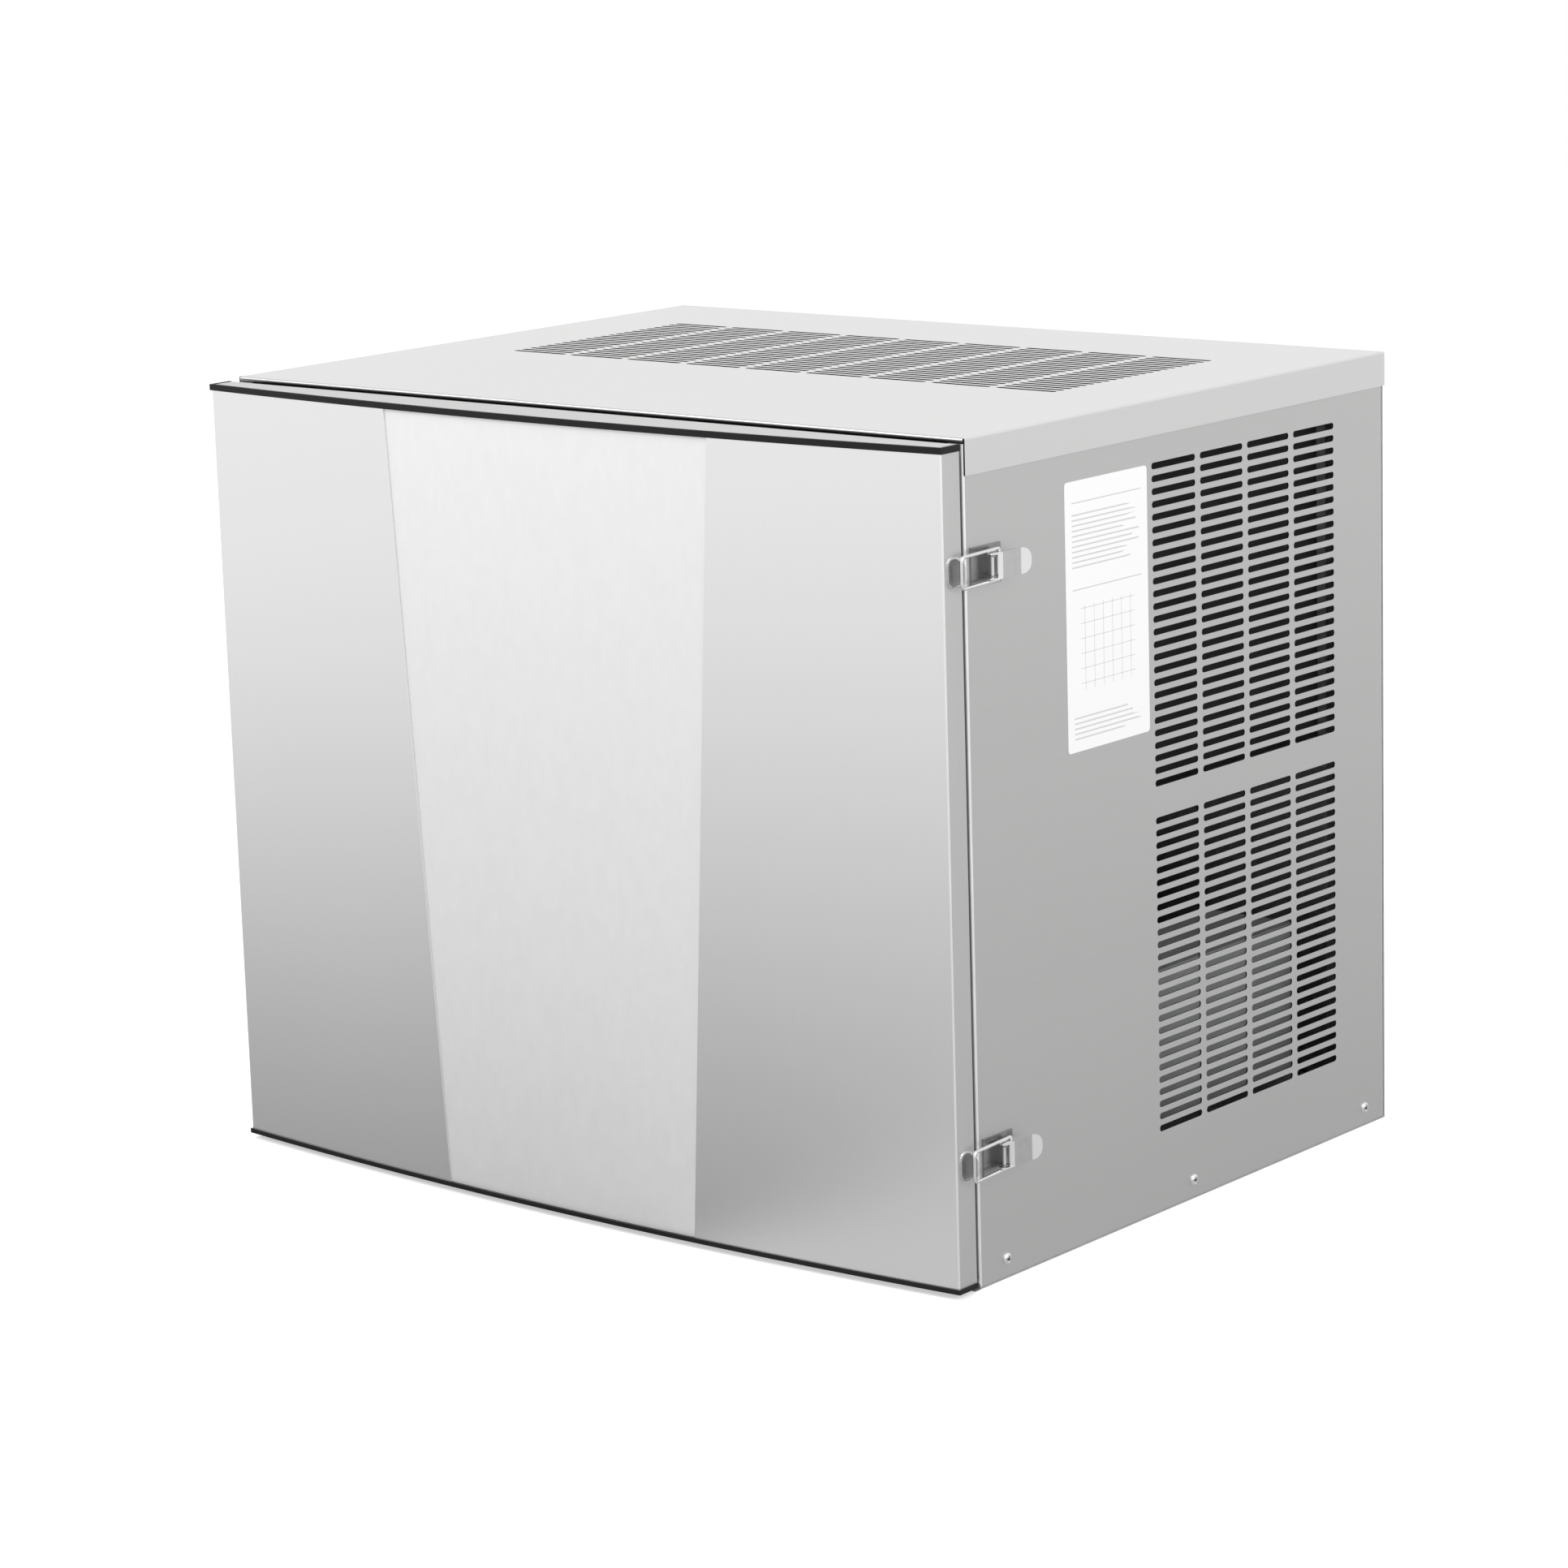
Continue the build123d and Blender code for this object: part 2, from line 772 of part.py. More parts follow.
for level_name, height in latch_heights.items():
    for side_name, side in {"right": 1, "left": -1}.items():
        finish(latch_lever(side, height), f"{level_name}_{side_name}_lever")
        finish(latch_bail(side, height), f"{level_name}_{side_name}_bail")

# Compartment liner: foamed walls round the ice-making zone; its back wall is
# the bulkhead between the food zone and the machinery
coil_half = (cell_columns * cell_pitch + cell_wall) / 2 - coil_margin
grid_width = cell_columns * cell_pitch + cell_wall
grid_height = cell_rows * cell_pitch + cell_wall
grid_middle = evaporator_bottom + grid_height / 2
grid_back = front + evaporator_front + cell_depth + cell_wall
coil_back = grid_back + coil_depth
coil_bottom_run = evaporator_bottom + coil_margin
coil_run_pitch = (grid_height - 2 * coil_margin) / (coil_runs - 1)
coil_top_run = coil_bottom_run + (coil_runs - 1) * coil_run_pitch
suction_x = compressor_x - compressor_port_offset
expansion_x = food_centre + coil_half
hot_gas_x = compressor_x + compressor_port_offset
tube_hole = tube_radius + seat_gap
wall_tubes = ((suction_x, coil_top_run), (expansion_x, coil_bottom_run), (inlet_x, inlet_height))
with BuildPart() as compartment_liner:
    with BuildSketch(Plane.XY.offset(base_sheet)):
        with Locations((food_left - liner_wall, liner_front)):
            Rectangle(
                food_right - food_left + 2 * liner_wall,
                bulkhead - liner_front,
                align=(Align.MIN, Align.MIN),
            )
        with Locations((food_left, liner_front)):
            Rectangle(
                food_right - food_left,
                bulkhead - liner_front,
                align=(Align.MIN, Align.MIN),
                mode=Mode.SUBTRACT,
            )
        with Locations((0, bulkhead)):
            Rectangle(2 * flange_inside, liner_back_wall, align=(Align.CENTER, Align.MIN))
    extrude(amount=cover_underside - seat_gap - base_sheet)
    with BuildSketch(facing_front(bulkhead)):
        with Locations(*wall_tubes):
            Circle(tube_hole)
    extrude(amount=-liner_back_wall, mode=Mode.SUBTRACT)
    with BuildSketch(Plane.YZ.offset(-flange_inside)):
        with Locations((screw_places[0], screw_height)):
            Circle(screw_radius + screw_pocket_play)
    extrude(amount=screw_length, mode=Mode.SUBTRACT)
finish(compartment_liner, "compartment_liner")

# Evaporator: a grid of cells that face the door, a flat serpentine brazed to
# its back, and a moulded surround with ears for the water curtain
evaporator_face = front + evaporator_front
surround_face = evaporator_face - evaporator_lip
surround_half = grid_width / 2 + evaporator_border
surround_top = evaporator_bottom + grid_height + evaporator_border
with BuildPart() as evaporator_grid:
    with BuildSketch(facing_front(evaporator_face)):
        with Locations((food_centre, grid_middle)):
            Rectangle(grid_width, grid_height)
    extrude(amount=-(cell_depth + cell_wall))
    with BuildSketch(facing_front(evaporator_face)):
        with Locations((food_centre, grid_middle)):
            with GridLocations(cell_pitch, cell_pitch, cell_columns, cell_rows):
                Rectangle(cell_pitch - cell_wall, cell_pitch - cell_wall)
    extrude(amount=-cell_depth, mode=Mode.SUBTRACT)
finish(evaporator_grid, "evaporator_grid")

with BuildPart() as evaporator_coil:
    with BuildSketch(facing_front(grid_back)):
        for run in range(coil_runs):
            with Locations((food_centre, coil_bottom_run + run * coil_run_pitch)):
                Rectangle(2 * coil_half - coil_run_pitch, coil_section)
        for turn in range(coil_runs - 1):
            level = coil_bottom_run + (turn + 0.5) * coil_run_pitch
            turn_x = coil_half - coil_run_pitch / 2
            outward = 1 if turn % 2 == 0 else -1
            inward = Align.MIN if outward > 0 else Align.MAX
            with Locations((food_centre + outward * turn_x, level)):
                with BuildSketch(mode=Mode.PRIVATE) as bend:
                    Circle((coil_run_pitch + coil_section) / 2)
                    Circle((coil_run_pitch - coil_section) / 2, mode=Mode.SUBTRACT)
                    Rectangle(
                        coil_run_pitch, 2 * coil_run_pitch, align=(inward, Align.CENTER),
                        mode=Mode.INTERSECT,
                    )
                add(bend.sketch)
    extrude(amount=-coil_depth)
finish(evaporator_coil, "evaporator_coil")

curtain_y = surround_face - curtain_stand_off
curtain_top = surround_top - curtain_ear_radius
with BuildPart() as evaporator_surround:
    with BuildSketch(facing_front(surround_face)):
        with Locations((food_centre, grid_middle)):
            Rectangle(2 * surround_half, grid_height + 2 * evaporator_border)
            Rectangle(grid_width + 2 * seat_gap, grid_height + 2 * seat_gap, mode=Mode.SUBTRACT)
    extrude(amount=-(bulkhead - surround_face))
    for ear_x in (food_centre - surround_half, food_centre + surround_half - curtain_ear_thickness):
        with BuildSketch(Plane.YZ.offset(ear_x)):
            with Locations((curtain_y, curtain_top)):
                Circle(curtain_ear_radius)
                Rectangle(
                    curtain_stand_off + curtain_ear_radius,
                    2 * curtain_ear_radius,
                    align=(Align.MIN, Align.CENTER),
                )
                Circle(curtain_pin_radius + running_gap, mode=Mode.SUBTRACT)
        extrude(amount=curtain_ear_thickness)
finish(evaporator_surround, "evaporator_surround")

# Water curtain: a thin plate that hangs from two pins in front of the grid
# and swings towards the door as the ice lets go
curtain_half = surround_half - curtain_ear_thickness - seat_gap
with BuildPart() as water_curtain:
    with BuildSketch(Plane.YZ.offset(food_centre)):
        with Locations((curtain_y, curtain_top)):
            Circle(curtain_hub_radius)
            Rectangle(
                curtain_thickness, curtain_drop - curtain_curl, align=(Align.CENTER, Align.MAX)
            )
        with BuildLine():
            foot = curtain_top - curtain_drop + curtain_curl
            face = curtain_y - curtain_thickness / 2
            heel = curtain_y + curtain_thickness / 2
            curl = curtain_curl / 3
            tip = foot - curtain_curl
            ThreePointArc((face, foot), (face - curl / 3, (foot + tip) / 2), (face - curl, tip))
            Line((face - curl, tip), (heel - curl, tip))
            ThreePointArc((heel - curl, tip), (heel - curl / 3, (foot + tip) / 2), (heel, foot))
            Line((heel, foot), (face, foot))
        make_face()
    extrude(amount=curtain_half, both=True)
    with BuildSketch(Plane.YZ.offset(food_centre)):
        with Locations((curtain_y, curtain_top)):
            Circle(curtain_pin_radius)
    extrude(amount=surround_half, both=True)
finish(water_curtain, "water_curtain")

# Water distributor on top of the surround
distributor_y = surround_face + distributor_width / 2
distributor_middle = surround_top + distributor_height / 2
with BuildPart() as water_distributor:
    with BuildSketch(Plane.YZ.offset(food_centre)) as section:
        with Locations((distributor_y, surround_top)):
            Rectangle(distributor_width, distributor_height, align=(Align.CENTER, Align.MIN))
        fillet(section.vertices().group_by(Axis.Y)[-1], radius=distributor_corner)
    extrude(amount=grid_width / 2, both=True)
finish(water_distributor, "water_distributor")

# Water trough between the compartment's side walls, against the bulkhead
trough_depth = bulkhead_front - trough_front
with BuildPart() as water_trough:
    with BuildSketch(Plane.YZ.offset(food_centre)) as section:
        with Locations((bulkhead, trough_bottom)):
            Rectangle(trough_depth, trough_height, align=(Align.MAX, Align.MIN))
        chamfer(section.vertices().group_by(Axis.Y)[0].sort_by(Axis.X)[0], length=trough_corner)
    extrude(amount=(food_right - food_left) / 2 - seat_gap, both=True)
    offset(
        amount=-trough_wall, openings=water_trough.faces().sort_by(Axis.Z)[-1], kind=Kind.INTERSECTION
    )
finish(water_trough, "water_trough")

# Water pump: a foot in the trough, a shoulder and a motor above, and the
# hose from the foot up to the distributor
pump_x = food_left + pump_inset
pump_foot = trough_bottom + trough_wall
motor_foot = trough_bottom + trough_height + pump_motor_lift
with BuildPart() as water_pump:
    with BuildSketch(Plane.XY.offset(pump_foot)):
        with Locations((pump_x, distributor_y)):
            Circle(pump_foot_radius)
    extrude(amount=motor_foot - pump_foot)
    with BuildSketch(Plane.XY.offset(motor_foot)):
        with Locations((pump_x, distributor_y)):
            Circle(pump_motor_radius)
    extrude(amount=pump_motor_height)
    fillet(water_pump.edges().filter_by(GeomType.CIRCLE).sort_by(Axis.Z)[-1], radius=pump_shoulder)
finish(water_pump, "water_pump")

hose_x = pump_x + hose_from_pump
hose_start = pump_foot + hose_lift
water_hose = tube(
    [
        (pump_x + pump_foot_radius + seat_gap, distributor_y, hose_start),
        (hose_x, distributor_y, hose_start),
        (hose_x, distributor_y, distributor_middle),
        (food_centre - grid_width / 2 - seat_gap, distributor_y, distributor_middle),
    ],
    hose_radius,
    hose_bend,
)
finish(water_hose, "water_hose")

# Water inlet valve in the back panel, and its line through the bulkhead
service_face = back - service_recess
with BuildPart() as inlet_valve:
    with BuildSketch(facing_front(service_face)):
        with Locations((inlet_x, inlet_height)):
            Circle(inlet_body_radius)
    extrude(amount=service_body_depth)
    with BuildSketch(facing_front(service_face - service_body_depth)):
        with Locations((inlet_x, inlet_height)):
            Rectangle(2 * inlet_body_radius, 2 * inlet_body_radius)
    extrude(amount=inlet_body_radius)
    with BuildSketch(Plane.XY.offset(inlet_height + inlet_body_radius)):
        with Locations((inlet_x, service_face - service_body_depth)):
            Rectangle(coil_cap_size, coil_cap_size, align=(Align.CENTER, Align.MAX))
    extrude(amount=coil_cap_height)
    with BuildSketch(facing_front(service_face)):
        with Locations((inlet_x, inlet_height)):
            Circle(inlet_thread_radius)
    extrude(amount=service_depth, mode=Mode.SUBTRACT)
finish(inlet_valve, "inlet_valve")

line_start = service_face - service_body_depth - inlet_body_radius
with BuildPart() as water_line:
    with BuildSketch(facing_front(line_start)):
        with Locations((inlet_x, inlet_height)):
            Circle(water_line_radius)
    extrude(amount=line_start - bulkhead + water_line_reach)
finish(water_line, "water_line")

# Dump valve behind the trough and the drain pipe to the back panel
drain_start = bulkhead_back + drain_valve_length
with BuildPart() as dump_valve:
    with BuildSketch(facing_front(bulkhead_back)):
        with Locations((drain_x, drain_height)):
            Circle(drain_body_radius)
    extrude(amount=-drain_valve_length)
    with BuildSketch(Plane.XY.offset(drain_height)):
        with Locations((drain_x, bulkhead_back + drain_valve_length / 2)):
            Rectangle(coil_cap_size, coil_cap_size)
    extrude(amount=drain_body_radius + coil_cap_height)
finish(dump_valve, "dump_valve")

with BuildPart() as drain_pipe:
    with BuildSketch(facing_front(service_face)):
        with Locations((drain_x, drain_height)):
            Circle(drain_body_radius)
    extrude(amount=service_body_depth)
    with BuildSketch(facing_front(service_face - service_body_depth)):
        with Locations((drain_x, drain_height)):
            Circle(drain_thread_radius)
    extrude(amount=service_face - service_body_depth - drain_start)
    with BuildSketch(facing_front(service_face)):
        with Locations((drain_x, drain_height)):
            Circle(drain_thread_radius)
    extrude(amount=service_depth, mode=Mode.SUBTRACT)
finish(drain_pipe, "drain_pipe")

# Power gland in the back panel
with BuildPart() as power_gland:
    with BuildSketch(facing_front(service_face)):
        with Locations((gland_x, gland_height)):
            Circle(gland_body_radius)
            Circle(gland_bore_radius, mode=Mode.SUBTRACT)
    extrude(amount=service_depth)
finish(power_gland, "power_gland")

# Condenser behind the upper vents: a core between two upright headers
core_outside = panel_inside - condenser_from_panel
core_inside = core_outside - condenser_thickness
core_bottom = upper_vents_middle - vent_group_height / 2 - condenser_margin
core_height = vent_group_height + 2 * condenser_margin
vents_back = front + side_vent_centre + vent_group_length / 2
header_front = bulkhead_back + seat_gap + condenser_header_radius
header_back = vents_back + condenser_margin - condenser_header_radius
header_x = (core_outside + core_inside) / 2
with BuildPart() as condenser_coil:
    with BuildSketch(Plane.XY.offset(core_bottom)):
        with Locations((header_x, (header_front + header_back) / 2)):
            Rectangle(condenser_thickness, header_back - header_front)
        with Locations((header_x, header_front), (header_x, header_back)):
            Circle(condenser_header_radius)
    extrude(amount=core_height)
finish(condenser_coil, "condenser_coil")

# Fan shroud: a box on the inner face of the condenser with a round mouth
shroud_inside = core_inside - shroud_depth
fan_y = (header_front + header_back) / 2
fan_z = upper_vents_middle
mouth_radius = fan_radius + fan_ring_gap
with BuildPart() as fan_shroud:
    with BuildSketch(Plane.YZ.offset(shroud_inside)):
        with Locations((fan_y, fan_z)):
            Rectangle(header_back - header_front, core_height)
    extrude(amount=shroud_depth)
    with BuildSketch(Plane.YZ.offset(shroud_inside + frame_sheet)):
        with Locations((fan_y, fan_z)):
            Rectangle(
                header_back - header_front - 2 * frame_sheet, core_height - 2 * frame_sheet
            )
    extrude(amount=shroud_depth, mode=Mode.SUBTRACT)
    with BuildSketch(Plane.YZ.offset(shroud_inside)):
        with Locations((fan_y, fan_z)):
            Circle(mouth_radius)
    extrude(amount=frame_sheet, mode=Mode.SUBTRACT)
finish(fan_shroud, "fan_shroud")

# Bracket across the mouth, the motor behind it, and the fan
bracket_x = shroud_inside - bracket_thickness
motor_face = bracket_x - motor_length
hub_x = shroud_inside + frame_sheet
with BuildPart() as fan_bracket:
    with BuildSketch(Plane.YZ.offset(bracket_x)):
        with Locations((fan_y, fan_z)):
            Rectangle(bracket_bar, 2 * (mouth_radius + bracket_overlap))
            Circle(motor_radius / 2)
            Circle(fan_shaft_radius + seat_gap, mode=Mode.SUBTRACT)
    extrude(amount=bracket_thickness)
finish(fan_bracket, "fan_bracket")

with BuildPart() as fan_motor:
    with BuildSketch(Plane.YZ.offset(motor_face)):
        with Locations((fan_y, fan_z)):
            Circle(motor_radius)
    extrude(amount=motor_length)
    fillet(fan_motor.edges().filter_by(GeomType.CIRCLE).sort_by(Axis.X)[0], radius=motor_corner)
    with BuildSketch(Plane.YZ.offset(bracket_x)):
        with Locations((fan_y, fan_z)):
            Circle(fan_shaft_radius)
    extrude(amount=hub_x + fan_hub_length - bracket_x)
finish(fan_motor, "fan_motor")

blade_x = hub_x + fan_hub_length / 2
blade_reach = fan_radius - fan_hub_radius / 2
with BuildPart() as fan_blades:
    with BuildSketch(Plane.YZ.offset(hub_x)):
        with Locations((fan_y, fan_z)):
            Circle(fan_hub_radius)
    extrude(amount=fan_hub_length)
    for blade in range(fan_blade_count):
        turn = blade * 360 / fan_blade_count
        spoke = Vector(0, 1, 0).rotate(Axis.X, turn)
        facing = Vector(1, 0, 0).rotate(Axis((0, 0, 0), spoke), fan_blade_pitch)
        with BuildSketch(Plane(origin=(blade_x, fan_y, fan_z), x_dir=spoke, z_dir=facing)) as outline:
            with Locations((fan_hub_radius / 2, 0)):
                Rectangle(blade_reach, fan_blade_width, align=(Align.MIN, Align.CENTER))
            fillet(outline.vertices().group_by(Axis.X)[-1], radius=fan_blade_width / 3)
        extrude(amount=fan_blade_thickness / 2, both=True)
    with BuildSketch(Plane.YZ.offset(hub_x)):
        with Locations((fan_y, fan_z)):
            Circle(fan_shaft_radius + running_gap)
    extrude(amount=fan_hub_length, mode=Mode.SUBTRACT)
finish(fan_blades, "fan_blades")

# Compressor: a welded shell on a foot plate, standing on four grommets
compressor_y = header_back - compressor_port_shift
plate_bottom = base_sheet + grommet_height
shell_bottom = plate_bottom + compressor_plate
shell_top = shell_bottom + compressor_height
with BuildPart() as compressor:
    with BuildSketch(Plane.XY.offset(shell_bottom)):
        with Locations((compressor_x, compressor_y)):
            Circle(compressor_radius)
    extrude(amount=compressor_height)
    shell_rims = compressor.edges().filter_by(GeomType.CIRCLE).sort_by(Axis.Z)
    fillet(shell_rims[-1], radius=compressor_dome)
    fillet(shell_rims[0], radius=compressor_foot_round)
    with BuildSketch(Plane.XY.offset(plate_bottom)):
        with Locations((compressor_x, compressor_y)):
            RectangleRounded(compressor_plate_length, compressor_plate_width, grommet_radius)
    extrude(amount=compressor_plate)
    with BuildSketch(Plane.XY.offset(shell_bottom + terminal_height / 2)):
        with Locations((compressor_x + compressor_radius / 2, compressor_y)):
            Rectangle(
                compressor_radius / 2 + terminal_reach,
                terminal_width,
                align=(Align.MIN, Align.CENTER),
            )
    extrude(amount=terminal_height)
finish(compressor, "compressor")

with BuildPart() as compressor_grommets:
    with BuildSketch(Plane.XY.offset(base_sheet)):
        with Locations((compressor_x, compressor_y)):
            with GridLocations(
                compressor_plate_length - 2 * grommet_inset,
                compressor_plate_width - 2 * grommet_inset,
                2,
                2,
            ):
                Circle(grommet_radius)
    extrude(amount=grommet_height)
finish(compressor_grommets, "compressor_grommets")

# Capacitor box on two folded feet, seen through the lower vents
box_outside = panel_face - capacitor_box_from_panel
box_middle = front + capacitor_box_centre
with BuildPart() as capacitor_box:
    with BuildSketch(Plane.XY.offset(capacitor_box_bottom)):
        with Locations((box_outside, box_middle)):
            Rectangle(
                capacitor_box_width, capacitor_box_length, align=(Align.MAX, Align.CENTER)
            )
    extrude(amount=capacitor_box_height)
    for end, inward in ((-1, Align.MIN), (1, Align.MAX)):
        end_y = box_middle + end * capacitor_box_length / 2
        with BuildSketch(Plane.XY.offset(base_sheet)):
            with Locations((box_outside, end_y)):
                Rectangle(capacitor_box_width, frame_sheet, align=(Align.MAX, inward))
        extrude(amount=capacitor_box_bottom - base_sheet)
        with BuildSketch(Plane.XY.offset(base_sheet)):
            with Locations((box_outside, end_y)):
                Rectangle(capacitor_box_width, capacitor_foot, align=(Align.MAX, inward))
        extrude(amount=frame_sheet)
finish(capacitor_box, "capacitor_box")

# Copper lines, the filter drier and the valves
core_top = core_bottom + core_height
discharge_height = core_top + discharge_rise
discharge_line = tube(
    [
        (hot_gas_x, header_back, shell_top + seat_gap),
        (hot_gas_x, header_back, discharge_height),
        (header_x, header_back, discharge_height),
        (header_x, header_back, core_top + seat_gap),
    ],
    tube_radius,
    tube_bend,
)
finish(discharge_line, "discharge_line")

suction_line = tube(
    [
        (suction_x, compressor_y, shell_top + seat_gap),
        (suction_x, compressor_y, coil_top_run),
        (suction_x, coil_back + seat_gap, coil_top_run),
    ],
    tube_radius,
    tube_bend,
)
finish(suction_line, "suction_line")

drier_start = expansion_x + valve_length / 2 + seat_gap
drier_end = drier_start + drier_length
with BuildPart() as expansion_valve:
    with BuildSketch(Plane.YZ.offset(expansion_x)):
        with Locations((header_front, coil_bottom_run)):
            Circle(valve_radius)
    extrude(amount=valve_length / 2, both=True)
    with BuildSketch(facing_front(header_front)):
        with Locations((expansion_x, coil_bottom_run)):
            Circle(tube_radius)
    extrude(amount=header_front - coil_back - seat_gap)
finish(expansion_valve, "expansion_valve")

with BuildPart() as filter_drier:
    with BuildSketch(facing_front(header_front)):
        with BuildLine():
            Polyline(
                (drier_start, coil_bottom_run),
                (drier_start, coil_bottom_run + tube_radius),
                (drier_start + drier_taper, coil_bottom_run + drier_radius),
                (drier_end - drier_taper, coil_bottom_run + drier_radius),
                (drier_end, coil_bottom_run + tube_radius),
                (drier_end, coil_bottom_run),
                close=True,
            )
        make_face()
    revolve(axis=Axis((0, header_front, coil_bottom_run), (1, 0, 0)))
finish(filter_drier, "filter_drier")

liquid_line = tube(
    [
        (header_x, header_front, core_bottom - seat_gap),
        (header_x, header_front, coil_bottom_run),
        (drier_end + seat_gap, header_front, coil_bottom_run),
    ],
    tube_radius,
    tube_bend,
)
finish(liquid_line, "liquid_line")

with BuildPart() as hot_gas_valve:
    with BuildSketch(facing_front(bulkhead_back)):
        with Locations((hot_gas_x, hot_gas_height)):
            Circle(valve_radius)
    extrude(amount=-valve_length)
    with BuildSketch(Plane.XY.offset(hot_gas_height)):
        with Locations((hot_gas_x, bulkhead_back + valve_length / 2)):
            Rectangle(coil_cap_size, coil_cap_size)
    extrude(amount=valve_radius + coil_cap_height)
    with BuildSketch(facing_front(bulkhead_back + valve_length)):
        with Locations((hot_gas_x, hot_gas_height)):
            Circle(tube_radius)
    extrude(amount=-(header_back - tube_radius - seat_gap - bulkhead_back - valve_length))
finish(hot_gas_valve, "hot_gas_valve")

# Control box in the bay to the right of the food zone: an open tray on the
# bulkhead, a board on rails, and a cover with a rocker switch
box_left = food_right + liner_wall + seat_gap
box_right = panel_inside - control_box_side_gap
box_front = bulkhead - control_box_depth
box_centre = (box_left + box_right) / 2
box_height_middle = control_box_bottom + control_box_height / 2
with BuildPart() as control_box:
    with BuildSketch(facing_front(box_front)):
        with Locations((box_centre, box_height_middle)):
            Rectangle(box_right - box_left, control_box_height)
    extrude(amount=-control_box_depth)
    with BuildSketch(facing_front(box_front)):
        with Locations((box_centre, box_height_middle)):
            Rectangle(box_right - box_left - 2 * sheet, control_box_height - 2 * sheet)
    extrude(amount=-(control_box_depth - sheet), mode=Mode.SUBTRACT)
    with BuildSketch(facing_front(bulkhead - sheet)):
        with Locations((box_centre, box_height_middle)):
            with GridLocations(
                box_right - box_left - 2 * sheet - board_inset * 2, board_inset, 2, 1
            ):
                Rectangle(board_standoff, control_box_height - 2 * board_inset)
    extrude(amount=board_standoff)
finish(control_box, "control_box")

board_back = bulkhead - sheet - board_standoff
with BuildPart() as control_board:
    with BuildSketch(facing_front(board_back)):
        with Locations((box_centre, box_height_middle)):
            Rectangle(
                box_right - box_left - 2 * sheet - board_inset,
                control_box_height - 2 * board_inset,
            )
    extrude(amount=board_thickness)
    with BuildSketch(facing_front(board_back - board_thickness)):
        with Locations((box_centre, box_height_middle + control_box_height / 4)):
            with GridLocations(relay_pitch, relay_pitch, relay_columns, relay_rows):
                Rectangle(relay_height, relay_height)
    extrude(amount=relay_height)
finish(control_board, "control_board")

cover_front = box_front - sheet
switch_z = control_box_bottom + control_box_height - switch_drop
pivot_y = box_front + switch_pivot_back
with BuildPart() as control_cover:
    with BuildSketch(facing_front(cover_front)):
        with Locations((box_centre, box_height_middle)):
            Rectangle(box_right - box_left, control_box_height)
        with Locations((box_centre, switch_z)):
            Rectangle(
                switch_width + 2 * switch_play,
                switch_height + 2 * switch_play,
                mode=Mode.SUBTRACT,
            )
    extrude(amount=-sheet)
    for ear_x in (
        box_centre - switch_width / 2 - switch_play - switch_ear,
        box_centre + switch_width / 2 + switch_play,
    ):
        with BuildSketch(Plane.YZ.offset(ear_x)):
            with Locations((box_front, switch_z)):
                Rectangle(
                    switch_pivot_back + 2 * switch_pin_radius,
                    4 * switch_pin_radius,
                    align=(Align.MIN, Align.CENTER),
                )
            with Locations((pivot_y, switch_z)):
                Circle(switch_pin_radius + running_gap, mode=Mode.SUBTRACT)
        extrude(amount=switch_ear)
finish(control_cover, "control_cover")

with BuildPart() as power_switch:
    with BuildSketch(Plane.YZ.offset(box_centre)):
        with BuildLine():
            Polyline(
                (cover_front - switch_play, switch_z + switch_height / 2),
                (cover_front + switch_play, switch_z),
                (cover_front - switch_play, switch_z - switch_height / 2),
                (pivot_y, switch_z - switch_height / 3),
                (pivot_y + 2 * switch_pin_radius, switch_z),
                (pivot_y, switch_z + switch_height / 3),
                close=True,
            )
        make_face()
    extrude(amount=switch_width / 2, both=True)
    with BuildSketch(Plane.YZ.offset(box_centre)):
        with Locations((pivot_y, switch_z)):
            Circle(switch_pin_radius)
    extrude(amount=switch_width / 2 + switch_play + switch_ear, both=True)
finish(power_switch, "power_switch")
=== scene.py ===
import json
import math

import bpy
import numpy as np
from mathutils import Matrix, Vector


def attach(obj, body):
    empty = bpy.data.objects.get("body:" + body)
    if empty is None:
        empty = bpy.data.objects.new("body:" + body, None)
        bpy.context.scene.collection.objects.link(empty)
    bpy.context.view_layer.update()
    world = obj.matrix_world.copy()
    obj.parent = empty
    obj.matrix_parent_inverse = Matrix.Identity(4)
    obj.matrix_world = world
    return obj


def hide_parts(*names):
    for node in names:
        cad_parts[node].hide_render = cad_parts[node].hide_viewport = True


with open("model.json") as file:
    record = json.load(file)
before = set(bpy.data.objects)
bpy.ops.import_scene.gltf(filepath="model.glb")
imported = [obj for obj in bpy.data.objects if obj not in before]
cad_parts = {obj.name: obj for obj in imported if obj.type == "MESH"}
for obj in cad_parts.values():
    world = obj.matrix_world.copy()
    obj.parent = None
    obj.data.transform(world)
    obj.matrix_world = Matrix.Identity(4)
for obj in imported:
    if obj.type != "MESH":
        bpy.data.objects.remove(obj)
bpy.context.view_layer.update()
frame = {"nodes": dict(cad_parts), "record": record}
print("frame loaded:", len(frame["nodes"]), "pieces")


